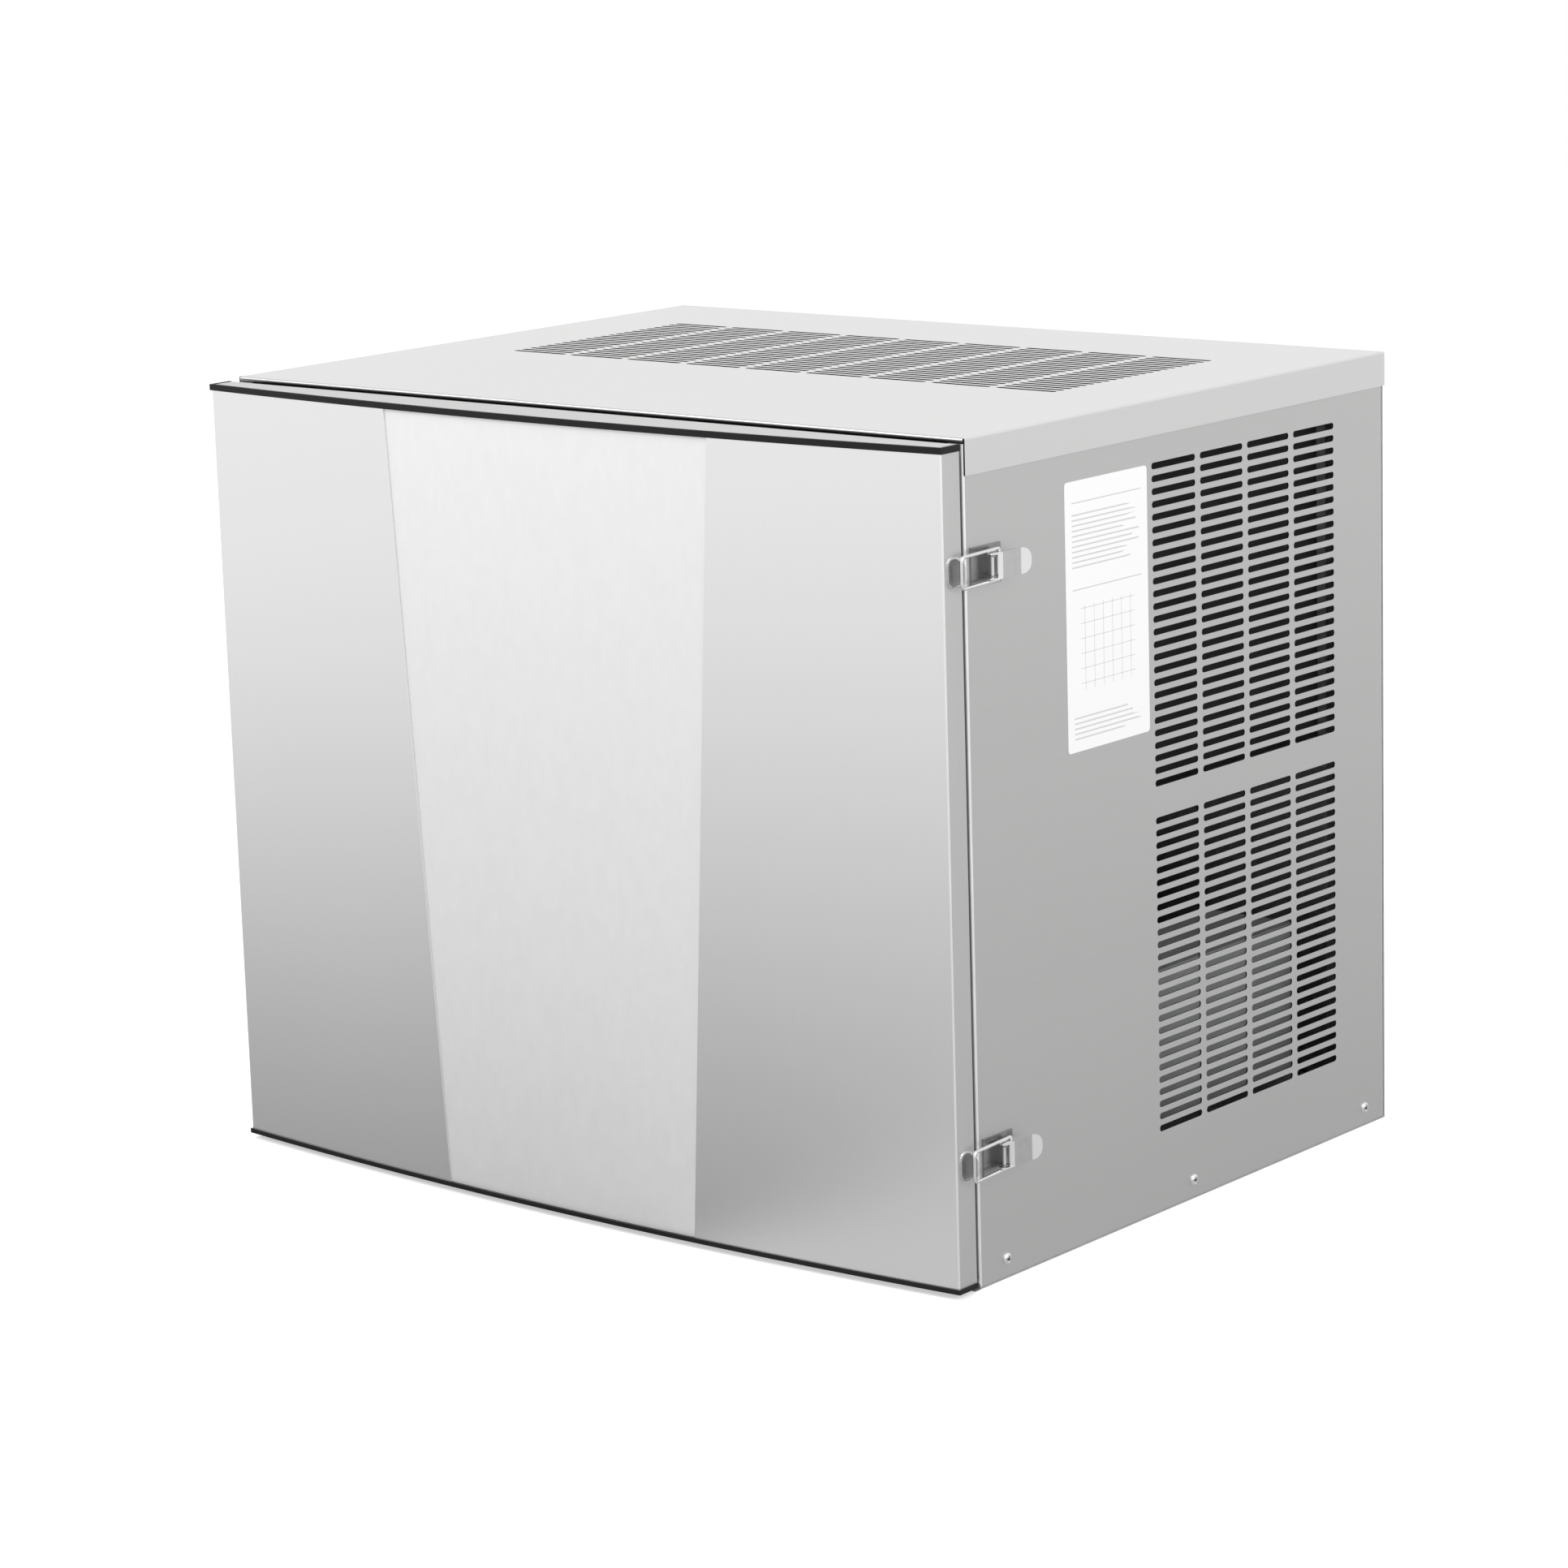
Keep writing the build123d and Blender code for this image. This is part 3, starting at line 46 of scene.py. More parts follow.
# A socket that takes part in sums: each operator adds its Math node to the tree.
class Wire:
    def __init__(self, tree, socket):
        self.tree, self.socket = tree, socket

    def math(self, operation, *terms):
        made = self.tree.nodes.new("ShaderNodeMath")
        made.operation = operation
        for place, term in zip(made.inputs, terms):
            plug(self.tree, place, term)
        return Wire(self.tree, made.outputs[0])

    def __add__(self, other):
        return self.math("ADD", self, other)

    def __sub__(self, other):
        return self.math("SUBTRACT", self, other)

    def __rsub__(self, other):
        return self.math("SUBTRACT", other, self)

    def __mul__(self, other):
        return self.math("MULTIPLY", self, other)

    def __truediv__(self, other):
        return self.math("DIVIDE", self, other)

    def __gt__(self, other):
        return self.math("GREATER_THAN", self, other)

    def __lt__(self, other):
        return self.math("LESS_THAN", self, other)

    def __mod__(self, other):
        return self.math("FLOORED_MODULO", self, other)

    def __abs__(self):
        return self.math("ABSOLUTE", self)

    __radd__ = __add__
    __rmul__ = __mul__


def plug(tree, place, term):
    # A wire is linked, anything else is set on the socket itself.
    if isinstance(term, Wire):
        tree.links.new(term.socket, place)
    else:
        place.default_value = term


# The node tree of one material or of the world, and the method that adds any node to it.
class Board:
    def __init__(self, owner):
        owner.use_nodes = True
        self.owner, self.tree = owner, owner.node_tree
        self.tree.nodes.clear()

    def node(self, kind, settings=None, inputs=None, outlet=0):
        made = self.tree.nodes.new(kind)
        settings = dict(settings or {})
        stops = settings.pop("stops", None)
        for name, value in settings.items():
            setattr(made, name, value)
        if stops:
            ramp = made.color_ramp.elements
            while len(ramp) < len(stops):
                ramp.new(1.0)
            for element, (place, grey) in zip(ramp, stops):
                element.position, element.color = place, (grey, grey, grey, 1)
        for key, value in (inputs or {}).items():
            plug(self.tree, made.inputs[key], value)
        return Wire(self.tree, made.outputs[outlet]) if made.outputs else None

    def place(self):
        return self.node("ShaderNodeTexCoord", outlet=3)

    def split(self, vector):
        parts = self.node("ShaderNodeSeparateXYZ", inputs={0: vector}).socket.node
        return [Wire(self.tree, out) for out in parts.outputs]

    def stretch(self, scale):
        return self.node("ShaderNodeMapping", inputs={"Vector": self.place(), "Scale": scale})

    def noise(self, scale, detail=3.0, rough=0.5, stretched=(1, 1, 1)):
        return self.node(
            "ShaderNodeTexNoise",
            inputs={
                "Vector": self.stretch(stretched),
                "Scale": scale,
                "Detail": detail,
                "Roughness": rough,
            },
        )

    def blendColour(self, amount, first, second):
        return self.node(
            "ShaderNodeMix",
            {"data_type": "RGBA"},
            {0: amount, 6: first, 7: second},
            outlet=2,
        )

    def bump(self, height, strength, depth):
        return self.node(
            "ShaderNodeBump", inputs={"Strength": strength, "Distance": depth, "Height": height}
        )

    def finish(self, **sockets):
        skin = self.node("ShaderNodeBsdfPrincipled")
        for name, value in sockets.items():
            plug(self.tree, skin.socket.node.inputs[name.replace("_", " ")], value)
        self.node("ShaderNodeOutputMaterial", inputs={"Surface": skin})
        return self.owner


def newBoard(name):
    return Board(bpy.data.materials.new(name))


def opaque(colour):
    return (*colour, 1.0)


def shade(colour, factor):
    return opaque([min(1.0, part * factor) for part in colour])


# Sheet steel with a fine grain along one axis: long streaks vary tone, roughness and normal,
# and wide soft patches keep large faces from looking flat.
def brushedSteel(name, look):
    board = newBoard(name)
    grain = board.noise(look["grainScale"], 4.0, 0.62, look["grain"])
    patches = board.noise(3.1, 2.0, 0.5)
    colour = board.blendColour(
        grain, shade(look["colour"], 1 - look["contrast"]), shade(look["colour"], 1 + look["contrast"])
    )
    rough = (grain - 0.5) * look["contrast"] * 1.6 + (patches - 0.5) * 0.06 + look["roughness"]
    return board.finish(
        Base_Color=colour,
        Metallic=1.0,
        Roughness=rough,
        Normal=board.bump(grain, look["bump"], 0.0002),
    )


# Zinc-coated sheet: crystal patches of slightly different tone.
def galvanisedSteel(name, look):
    board = newBoard(name)
    spangle = board.node(
        "ShaderNodeTexVoronoi",
        inputs={"Vector": board.place(), "Scale": look["spangle"], "Randomness": 1.0},
        outlet=1,
    )
    grey = board.node("ShaderNodeRGBToBW", inputs={0: spangle})
    colour = board.blendColour(grey, shade(look["colour"], 0.93), shade(look["colour"], 1.05))
    return board.finish(
        Base_Color=colour, Metallic=1.0, Roughness=grey * 0.07 + look["roughness"]
    )


# Bright plating or drawn metal: faint clouding of tone and gloss.
def platedMetal(name, look):
    board = newBoard(name)
    cloud = board.noise(look.get("cloud", 60.0), 3.0, 0.55)
    colour = board.blendColour(cloud, shade(look["colour"], 0.9), shade(look["colour"], 1.05))
    return board.finish(
        Base_Color=colour, Metallic=1.0, Roughness=(cloud - 0.5) * 0.12 + look["roughness"]
    )


# Bare tube that has begun to dull: darker and rougher in blotches.
def dulledMetal(name, look):
    board = newBoard(name)
    blotch = board.noise(38.0, 5.0, 0.6)
    fine = board.noise(420.0, 2.0, 0.5)
    colour = board.blendColour(blotch, shade(look["colour"], 0.55), shade(look["colour"], 1.15))
    return board.finish(
        Base_Color=colour,
        Metallic=1.0,
        Roughness=look["roughness"] + (blotch - 0.5) * 0.3 + (fine - 0.5) * 0.05,
    )


# Moulded plastic, rubber and paint: a very fine skin texture under slow changes of tone.
def mouldedSkin(name, look):
    board = newBoard(name)
    skin = board.noise(look.get("skinScale", 900.0), 2.0, 0.5)
    cloud = board.noise(9.0, 3.0, 0.5)
    colour = board.blendColour(cloud, shade(look["colour"], 0.93), shade(look["colour"], 1.05))
    return board.finish(
        Base_Color=colour,
        Roughness=(skin - 0.5) * 0.1 + (cloud - 0.5) * 0.06 + look["roughness"],
        Normal=board.bump(skin, look.get("bump", 0.12), 0.0003),
        Specular_IOR_Level=look.get("specular", 0.5),
    )


# Condenser core: thin upright fins, with a darker tube row at every rise of the tubes.
# Its near-black base tone is painted shade of the cabinet's dark inside.
def finnedCore(name, look):
    board = newBoard(name)
    x, y, z = board.split(board.place())
    fins = abs(((y / look["finPitch"]) % 1.0) - 0.5) * 2
    rows = abs(((z / look["rowPitch"]) % 1.0) - 0.5) < 0.12
    colour = board.blendColour(fins, shade(look["colour"], 0.3), shade(look["colour"], 1.4))
    colour = board.blendColour(rows * 0.5, colour, shade(look["colour"], 0.4))
    return board.finish(Base_Color=colour, Metallic=0.5, Roughness=0.6)


# Latch lever: a rolled nose with a painted highlight, a duller channel and a paler, rougher finger
# tip painted lighter where it bends up. The three are told apart by how far back from the cabinet's front edge
# they lie.
def leverSteel(name, look):
    board = newBoard(name)
    x, y, z = board.split(board.place())
    cloud = board.noise(150.0, 3.0, 0.55)
    tip = board.node(
        "ShaderNodeMapRange",
        {"clamp": True},
        {"Value": y, "From Min": look["tipStart"], "From Max": look["tipStart"] + 0.0012},
    )
    nose = y < look["noseEnd"]
    tone = board.blendColour(cloud, shade(look["colour"], 0.9), shade(look["colour"], 1.08))
    tone = board.blendColour(tip, tone, opaque(look["tipColour"]))
    tone = board.blendColour(nose, tone, opaque(look["noseColour"]))
    return board.finish(
        Base_Color=tone,
        Metallic=1.0,
        Roughness=tip * 0.28 + (cloud - 0.5) * 0.1 + look["roughness"],
    )


# Circuit board lacquer with lighter tracks in a square maze.
def circuitBoard(name, look):
    board = newBoard(name)
    x, y, z = board.split(board.place())
    across = (abs(((x / 0.0072) % 1.0) - 0.5) < 0.09) * (board.noise(60.0, 0.0) > 0.5)
    along = (abs(((z / 0.0064) % 1.0) - 0.5) < 0.09) * (board.noise(45.0, 0.0) > 0.5)
    tracks = across.math("MAXIMUM", across, along)
    colour = board.blendColour(tracks, opaque(look["colour"]), opaque((0.09, 0.32, 0.15)))
    return board.finish(Base_Color=colour, Roughness=0.32)


finishes = {
    "side_steel": (brushedSteel, dict(colour=(0.58, 0.58, 0.577), roughness=0.44, contrast=0.035,
                                      grain=(60, 1, 60), grainScale=26.0, bump=0.05)),
    "back_steel": (galvanisedSteel, dict(colour=(0.55, 0.56, 0.57), roughness=0.36, spangle=130.0)),
    "cover_steel": (brushedSteel, dict(colour=(0.73, 0.73, 0.727), roughness=0.36, contrast=0.03,
                                       grain=(1, 60, 60), grainScale=26.0, bump=0.05)),
    "door_steel": (brushedSteel, dict(colour=(0.85, 0.85, 0.85), roughness=0.30, contrast=0.02,
                                      grain=(60, 60, 1), grainScale=26.0, bump=0.03)),
    "centre_steel": (brushedSteel, dict(colour=(0.87, 0.87, 0.868), roughness=0.62, contrast=0.03,
                                        grain=(2, 2, 1), grainScale=60.0, bump=0.05)),
    "trim_black": (mouldedSkin, dict(colour=(0.012, 0.012, 0.013), roughness=0.5, specular=0.2)),
    "rail_grey": (mouldedSkin, dict(colour=(0.07, 0.07, 0.075), roughness=0.45)),
    "frame_black": (mouldedSkin, dict(colour=(0.006, 0.006, 0.006), roughness=0.7, specular=0.1)),
    "door_plastic": (mouldedSkin, dict(colour=(0.60, 0.60, 0.595), roughness=0.45)),
    "gasket_rubber": (mouldedSkin, dict(colour=(0.006, 0.006, 0.006), roughness=0.7, bump=0.25,
                                        specular=0.1)),
    "base_steel": (galvanisedSteel, dict(colour=(0.50, 0.51, 0.52), roughness=0.4, spangle=140.0)),
    "latch_steel": (platedMetal, dict(colour=(0.80, 0.80, 0.795), roughness=0.2, cloud=150.0)),
    "screw_steel": (platedMetal, dict(colour=(0.78, 0.78, 0.775), roughness=0.24, cloud=260.0)),
    "liner_plastic": (mouldedSkin, dict(colour=(0.80, 0.81, 0.81), roughness=0.3, skinScale=500.0)),
    "cell_nickel": (platedMetal, dict(colour=(0.70, 0.69, 0.66), roughness=0.3, cloud=90.0)),
    "surround_plastic": (mouldedSkin, dict(colour=(0.68, 0.70, 0.71), roughness=0.4)),
    "curtain_plastic": (mouldedSkin, dict(colour=(0.80, 0.84, 0.86), roughness=0.32)),
    "pump_plastic": (mouldedSkin, dict(colour=(0.05, 0.05, 0.055), roughness=0.45)),
    "hose_rubber": (mouldedSkin, dict(colour=(0.55, 0.58, 0.60), roughness=0.38)),
    "copper": (dulledMetal, dict(colour=(0.72, 0.38, 0.22), roughness=0.34)),
    "valve_brass": (dulledMetal, dict(colour=(0.68, 0.53, 0.28), roughness=0.3)),
    "valve_plastic": (mouldedSkin, dict(colour=(0.74, 0.74, 0.72), roughness=0.42)),
    "pipe_plastic": (mouldedSkin, dict(colour=(0.64, 0.65, 0.66), roughness=0.42)),
    "compressor_black": (mouldedSkin, dict(colour=(0.018, 0.018, 0.02), roughness=0.3,
                                           skinScale=260.0, bump=0.2)),
    "capacitor_grey": (mouldedSkin, dict(colour=(0.36, 0.37, 0.37), roughness=0.5)),
    "condenser_aluminium": (finnedCore, dict(colour=(0.018, 0.018, 0.019), finPitch=0.0024,
                                             rowPitch=0.025)),
    "shroud_steel": (galvanisedSteel, dict(colour=(0.40, 0.41, 0.42), roughness=0.42, spangle=135.0)),
    "fan_aluminium": (platedMetal, dict(colour=(0.60, 0.60, 0.60), roughness=0.38, cloud=40.0)),
    "motor_paint": (mouldedSkin, dict(colour=(0.05, 0.05, 0.055), roughness=0.4, skinScale=300.0)),
    "control_steel": (mouldedSkin, dict(colour=(0.45, 0.46, 0.46), roughness=0.45, skinScale=300.0,
                                        bump=0.2)),
    "board_green": (circuitBoard, dict(colour=(0.015, 0.13, 0.055))),
    "switch_plastic": (mouldedSkin, dict(colour=(0.02, 0.02, 0.02), roughness=0.18)),
    "gland_plastic": (mouldedSkin, dict(colour=(0.03, 0.03, 0.03), roughness=0.55)),
}
# Finishes that only part of a piece has; each carries painted light or shade, in whole or in part.
extraFinishes = {
    # a darker copy of the door's steel for the door's ends, a painted shade on faces turned sideways
    "end_steel": (brushedSteel, dict(colour=(0.60, 0.60, 0.597), roughness=0.44, contrast=0.03,
                                     grain=(60, 60, 1), grainScale=26.0, bump=0.03)),
    # near-white steel on folds and bends, a painted highlight
    "edge_steel": (platedMetal, dict(colour=(0.97, 0.97, 0.965), roughness=0.35, cloud=40.0)),
    # near-black steel on slot walls and in screw recesses, a painted shade
    "cut_steel": (platedMetal, dict(colour=(0.035, 0.035, 0.036), roughness=0.6, cloud=80.0)),
    "lever_steel": (leverSteel, dict(colour=(0.60, 0.60, 0.60), roughness=0.2, tipStart=-0.2315,
                                     noseEnd=-0.2525, tipColour=(0.80, 0.80, 0.797),
                                     noseColour=(0.95, 0.95, 0.945))),
    # darker steel for the latch bases, a painted shade behind the levers
    "latch_base_steel": (platedMetal, dict(colour=(0.33, 0.33, 0.33), roughness=0.3, cloud=120.0)),
    # darker steel inside the strike dish, a painted shade
    "dish_steel": (platedMetal, dict(colour=(0.30, 0.30, 0.30), roughness=0.25, cloud=120.0)),
}
skins = {name: maker(name, look) for name, (maker, look) in (finishes | extraFinishes).items()}
slotOf = {entry["node"]: entry["material_slot"] for entry in frame["record"]["subparts"]}
for nodeName, nodeObject in frame["nodes"].items():
    for materialSlot in nodeObject.material_slots:
        materialSlot.material = skins[slotOf[nodeName]]
        if nodeName.endswith("_lever"):
            materialSlot.material = skins["lever_steel"]
        # The latch bases take a darker steel, a painted shade.
        if nodeName == "latch_bases":
            materialSlot.material = skins["latch_base_steel"]
print("finishes given to", len(slotOf), "pieces")


# One mesh from parts, each a set of points, the faces between them and the number of their
# skin; rides on a body.
def newPiece(name, parts, body, pieceSkins, smooth=False):
    points, faces, skinNumbers, start = [], [], [], 0
    for partPoints, partFaces, number in parts:
        points.append(np.asarray(partPoints, float).reshape(-1, 3))
        faces += [tuple(int(corner) + start for corner in face) for face in partFaces]
        numbers = np.broadcast_to(np.asarray(number), len(partFaces))
        skinNumbers += [int(single) for single in numbers]
        start += len(points[-1])
    mesh = bpy.data.meshes.new(name)
    mesh.from_pydata(np.concatenate(points).tolist(), [], faces)
    for skin in pieceSkins:
        mesh.materials.append(skins[skin] if isinstance(skin, str) else skin)
    mesh.polygons.foreach_set("material_index", skinNumbers)
    mesh.polygons.foreach_set("use_smooth", [smooth] * len(faces))
    if smooth:
        mesh.set_sharp_from_angle(angle=math.radians(38))
    piece = bpy.data.objects.new(name, mesh)
    bpy.context.scene.collection.objects.link(piece)
    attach(piece, body)
    return piece


# Faces of a grid of points: every cell of rows by columns is one quad; closed wraps a direction.
def gridFaces(rows, columns, closedRows=False, closedColumns=False, turned=False):
    row, column = np.meshgrid(
        np.arange(rows if closedRows else rows - 1),
        np.arange(columns if closedColumns else columns - 1),
        indexing="ij",
    )
    nextRow, nextColumn = (row + 1) % rows, (column + 1) % columns
    corners = [(row, column), (row, nextColumn), (nextRow, nextColumn), (nextRow, column)]
    faces = np.stack([r * columns + c for r, c in corners], axis=-1).reshape(-1, 4)
    return faces[:, ::-1] if turned else faces


# Arc of a circle: centre + radius * (cos turn, sin turn), turn going evenly from start to end.
def arc(centre, radius, start, end, steps):
    turn = np.radians(np.linspace(start, end, steps))
    return np.asarray(centre) + radius * np.stack([np.cos(turn), np.sin(turn)], -1)


# An upright rounded rectangle: four quarter circles of one radius whose centres are the
# rectangle's corners moved in by that radius, listed anticlockwise from the right.
def roundedLoop(width, height, radius, steps):
    turn = np.linspace(0, math.pi / 2, steps)
    quarter = np.arange(4)[:, None] * math.pi / 2 + turn
    signs = np.array([(1, 1), (-1, 1), (-1, -1), (1, -1)])[:, None]
    centres = signs * (width / 2 - radius, height / 2 - radius)
    return (centres + radius * np.stack([np.cos(quarter), np.sin(quarter)], -1)).reshape(-1, 2)


# A vented sheet, worked out in its own plane: u and v run along the sheet and the depth is
# across it. Every vent is one cell: a rounded slot joined to the cell's rectangle on both
# faces of the sheet, and a wall through it. Plain strips fill the rest of the sheet.
def ventedSheet(look, axes):
    slot = roundedLoop(*look["slot"], look["slotRadius"], look["steps"])
    count, steps = len(slot), look["steps"]
    half = np.array([look["columnPitch"] / 2, look["rowPitch"] / 2])
    flat = np.concatenate([slot, np.array([(1, 1), (-1, 1), (-1, -1), (1, -1)]) * half])
    outer, inner, layer = look["face"], look["face"] - look["sheet"], count + 4
    template = np.concatenate(
        [np.column_stack([np.full(layer, depth), flat]) for depth in (outer, inner)]
    )
    ring = []
    for index in range(count):
        corner, following = index // steps, (index + 1) % count
        cornerPoints = [count + corner]
        if following // steps != corner:
            cornerPoints = [count + following // steps, count + corner]
        ring.append((index, following, *cornerPoints))
    front = [tuple(reversed(face)) for face in ring]
    rear = [tuple(point + layer for point in face) for face in ring]
    wall = [(i, (i + 1) % count, (i + 1) % count + layer, i + layer) for i in range(count)]
    u = look["fieldMiddle"] + (np.arange(look["columns"]) - (look["columns"] - 1) / 2) * look[
        "columnPitch"
    ]
    v = np.concatenate(
        [first + np.arange(look["rows"]) * look["rowPitch"] for first in look["firstRows"]]
    )
    middles = np.stack(np.meshgrid([0.0], u, v, indexing="ij"), -1).reshape(-1, 1, 3)
    cellPoints = (middles + template[None]).reshape(-1, 3)
    cellFaces = front + rear + wall
    faces = [
        tuple(point + cell * len(template) for point in face)
        for cell in range(len(middles))
        for face in cellFaces
    ]
    # The slot walls take the piece's second skin, a near-black painted shade inside the slots.
    wallNumbers = ([0] * (2 * count) + [1] * count) * len(middles)
    parts = [(cellPoints[:, axes], faces, wallNumbers)]
    halfField = look["columns"] * look["columnPitch"] / 2
    left, right = look["fieldMiddle"] - halfField, look["fieldMiddle"] + halfField
    low = [first - look["rowPitch"] / 2 for first in look["firstRows"]]
    high = [start + look["rows"] * look["rowPitch"] for start in low]
    (uMin, uMax), (vMin, vMax) = look["uSpan"], look["vSpan"]
    spans = [(uMin, left, vMin, vMax), (right, uMax, vMin, vMax)]
    spans += [(left, right, *gap) for gap in zip([vMin, *high], [*low, vMax])]
    for start, end, bottom, top in spans:
        square = np.array([(start, bottom), (end, bottom), (end, top), (start, top)])
        for depth, order in ((outer, (0, 1, 2, 3)), (inner, (3, 2, 1, 0))):
            points = np.column_stack([np.full(4, depth), square])
            parts.append((points[:, axes], [order], 0))
    return parts


# Right side of the cabinet: the vented sheet, its folded front and back edges and its rims.
side = {
    "face": 0.3795,
    "sheet": 0.0012,
    "front": -0.2815,
    "back": 0.2785,
    "bottom": 0.002,
    "top": 0.6465,
    "fold": 0.002,
    "return": 0.014,
    "fieldMiddle": 0.0805,
    "columnPitch": 0.0648,
    "columns": 4,
    "rowPitch": 0.010,
    "rows": 26,
    "firstRows": (0.069, 0.349),
    "slot": (0.058, 0.0052),
    "slotRadius": 0.0024,
    "steps": 6,
}
side["uSpan"] = (side["front"] + side["fold"], side["back"] - side["fold"])
side["vSpan"] = (side["bottom"], side["top"])


# A fold seen from above: the return's far end, the bend as a quarter circle, carried upright.
def foldedEdge(look, y, way):
    fold, sheet = look["fold"], look["sheet"]
    centre = (look["face"] - fold, y + way * fold)
    bend = arc(centre, fold, -90 * way, 0, 7)
    inside = arc(centre, fold - sheet, 0, -90 * way, 5)
    far = look["face"] - look["return"]
    plan = np.concatenate([[(far, y)], bend, inside, [(far, y + way * sheet)]])
    levels = np.array([look["bottom"], look["top"]])
    points = np.concatenate(
        [np.column_stack([plan, np.full(len(plan), level)]) for level in levels]
    )
    faces = gridFaces(2, len(plan), turned=way < 0)
    # The bend takes the piece's third skin, a painted highlight along the fold.
    numbers = [0] + [2] * 6 + [0] * (len(faces) - 7)
    return points, faces, numbers


rims = []
for level, order in ((side["bottom"], (0, 1, 2, 3)), (side["top"], (3, 2, 1, 0))):
    rim = [(depth, y, level) for depth, y in (
        (side["face"] - side["sheet"], side["uSpan"][0]), (side["face"], side["uSpan"][0]),
        (side["face"], side["uSpan"][1]), (side["face"] - side["sheet"], side["uSpan"][1]))]
    rims.append((rim, [order[::-1]], 0))
sidePanel = newPiece(
    "vented_side",
    [*ventedSheet(side, [0, 1, 2]), foldedEdge(side, side["front"], 1),
     foldedEdge(side, side["back"], -1), *rims],
    "cabinet", ["side_steel", "cut_steel", "edge_steel"],
)
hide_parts("right_side_panel")
print("vented side made")

# Top cover: the vented sheet, a flange folded down on three sides, and a rolled front edge.
cover = {
    "face": 0.651,
    "sheet": 0.0012,
    "half": 0.381,
    "front": -0.2815,
    "back": 0.2815,
    "fold": 0.0015,
    "flange": 0.028,
    "roll": 0.0021,
    "rollDepth": 0.012,
    "fieldMiddle": 0.0,
    "columnPitch": 0.0648,
    "columns": 9,
    "rowPitch": 0.010,
    "rows": 22,
    "firstRows": (-0.044,),
    "slot": (0.058, 0.0052),
    "slotRadius": 0.0024,
    "steps": 5,
}
cover["uSpan"] = (cover["fold"] - cover["half"], cover["half"] - cover["fold"])
cover["vSpan"] = (cover["front"] + cover["roll"], cover["back"] - cover["fold"])


# The flange's profile, (distance out, height), is carried round three sides. At a corner the
# path stands still while the outward direction turns through a quarter circle.
def foldedFlange(look):
    fold, sheet, top = look["fold"], look["sheet"], look["face"]
    bend = arc((0, top - fold), fold, 90, 0, 6)
    inside = arc((0, top - fold), fold - sheet, 0, 90, 4)
    foot = [(fold, top - look["flange"]), (fold - sheet, top - look["flange"])]
    profile = np.concatenate([bend, foot, inside])
    x, y = look["uSpan"][1], look["vSpan"][1]
    turns = np.radians(np.concatenate([[180], np.linspace(180, 90, 6), np.linspace(90, 0, 6), [0]]))
    path = np.array([(-x, look["front"] + 0.0008)] + [(-x, y)] * 6 + [(x, y)] * 6
                    + [(x, look["front"] + 0.0008)])
    outward = np.stack([np.cos(turns), np.sin(turns)], -1)
    plan = path[:, None, :] + profile[None, :, :1] * outward[:, None, :]
    height = np.broadcast_to(profile[None, :, 1:], (*plan.shape[:2], 1))
    points = np.concatenate([plan, height], -1)
    return points, gridFaces(len(path), len(profile), turned=True), 0


# The rolled edge's profile, (y, z), is a half circle and a flat return, carried along x.
def rolledFront(look):
    centre = (look["front"] + look["roll"], look["face"] - look["roll"])
    profile = np.concatenate(
        [arc(centre, look["roll"], 90, 270, 17),
         [(look["front"] + look["rollDepth"], look["face"] - 2 * look["roll"])]]
    )
    x = np.linspace(look["uSpan"][0], look["uSpan"][1], 9)
    y, z = (np.broadcast_to(profile[:, k], (len(x), len(profile))) for k in (0, 1))
    points = np.stack([np.broadcast_to(x[:, None], y.shape), y, z], -1)
    ends = [list(range(17)), list(range(8 * 18, 8 * 18 + 17))[::-1]]
    faces = [tuple(face) for face in gridFaces(len(x), len(profile), turned=True)] + ends
    return points, faces, 2


# Steel of the rolled edge, with painted reflections: a dark line along the middle of the roll and a lighter one
# above, banded by height.
def rolledSteel(name, look):
    board = newBoard(name)
    x, y, z = board.split(board.place())
    cloud = board.noise(70.0, 3.0, 0.55, (1, 30, 30))
    across = (z - look["low"]) / (look["high"] - look["low"])
    paintedReflection = board.node("ShaderNodeValToRGB", {"stops": look["stops"]}, {0: across})
    colour = board.blendColour(cloud * 0.12, paintedReflection, opaque((0.5, 0.5, 0.5)))
    return board.finish(Base_Color=colour, Metallic=1.0, Roughness=cloud * 0.1 + 0.28)


skins["rolled_steel"] = rolledSteel(
    "rolled_steel",
    dict(low=0.6468, high=0.651, stops=[(0.0, 0.30), (0.25, 0.55), (0.5, 0.24), (0.72, 0.42),
                                       (0.9, 0.55), (1.0, 0.68)]),
)
topCover = newPiece(
    "vented_cover", [*ventedSheet(cover, [1, 2, 0]), foldedFlange(cover)],
    "cabinet", ["cover_steel", "cut_steel"],
)
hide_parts("top_cover")
roll = newPiece("cover_roll", [(*rolledFront(cover)[:2], 0)], "cabinet",
                ["rolled_steel"], smooth=True)
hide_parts("top_cover")
print("vented cover made")

# Door skins: two bowed wings folded round the door's ends, and a satin panel set in between.
door = {
    "half": 0.3825,
    "endFront": -0.311,
    "bow": 0.0186,
    "back": -0.2895,
    "bottom": 0.008,
    "top": 0.643,
    "edgeBottom": 0.132,
    "edgeTop": 0.170,
    "step": 0.0014,
    "sheet": 0.0010,
    "fold": 0.0011,
    "edgeFold": 0.0007,
    "columns": 40,
    "levels": 24,
    "bend": 6,
    "support": 0.002,
}


# The door's front in plan is a circle's arc: y = middle - sqrt(radius^2 - x^2), where the
# radius follows from the half width and the bow.
def bowedFront(x, look):
    radius = (look["half"] ** 2 + look["bow"] ** 2) / (2 * look["bow"])
    return look["endFront"] - look["bow"] + radius - np.sqrt(radius**2 - x**2)


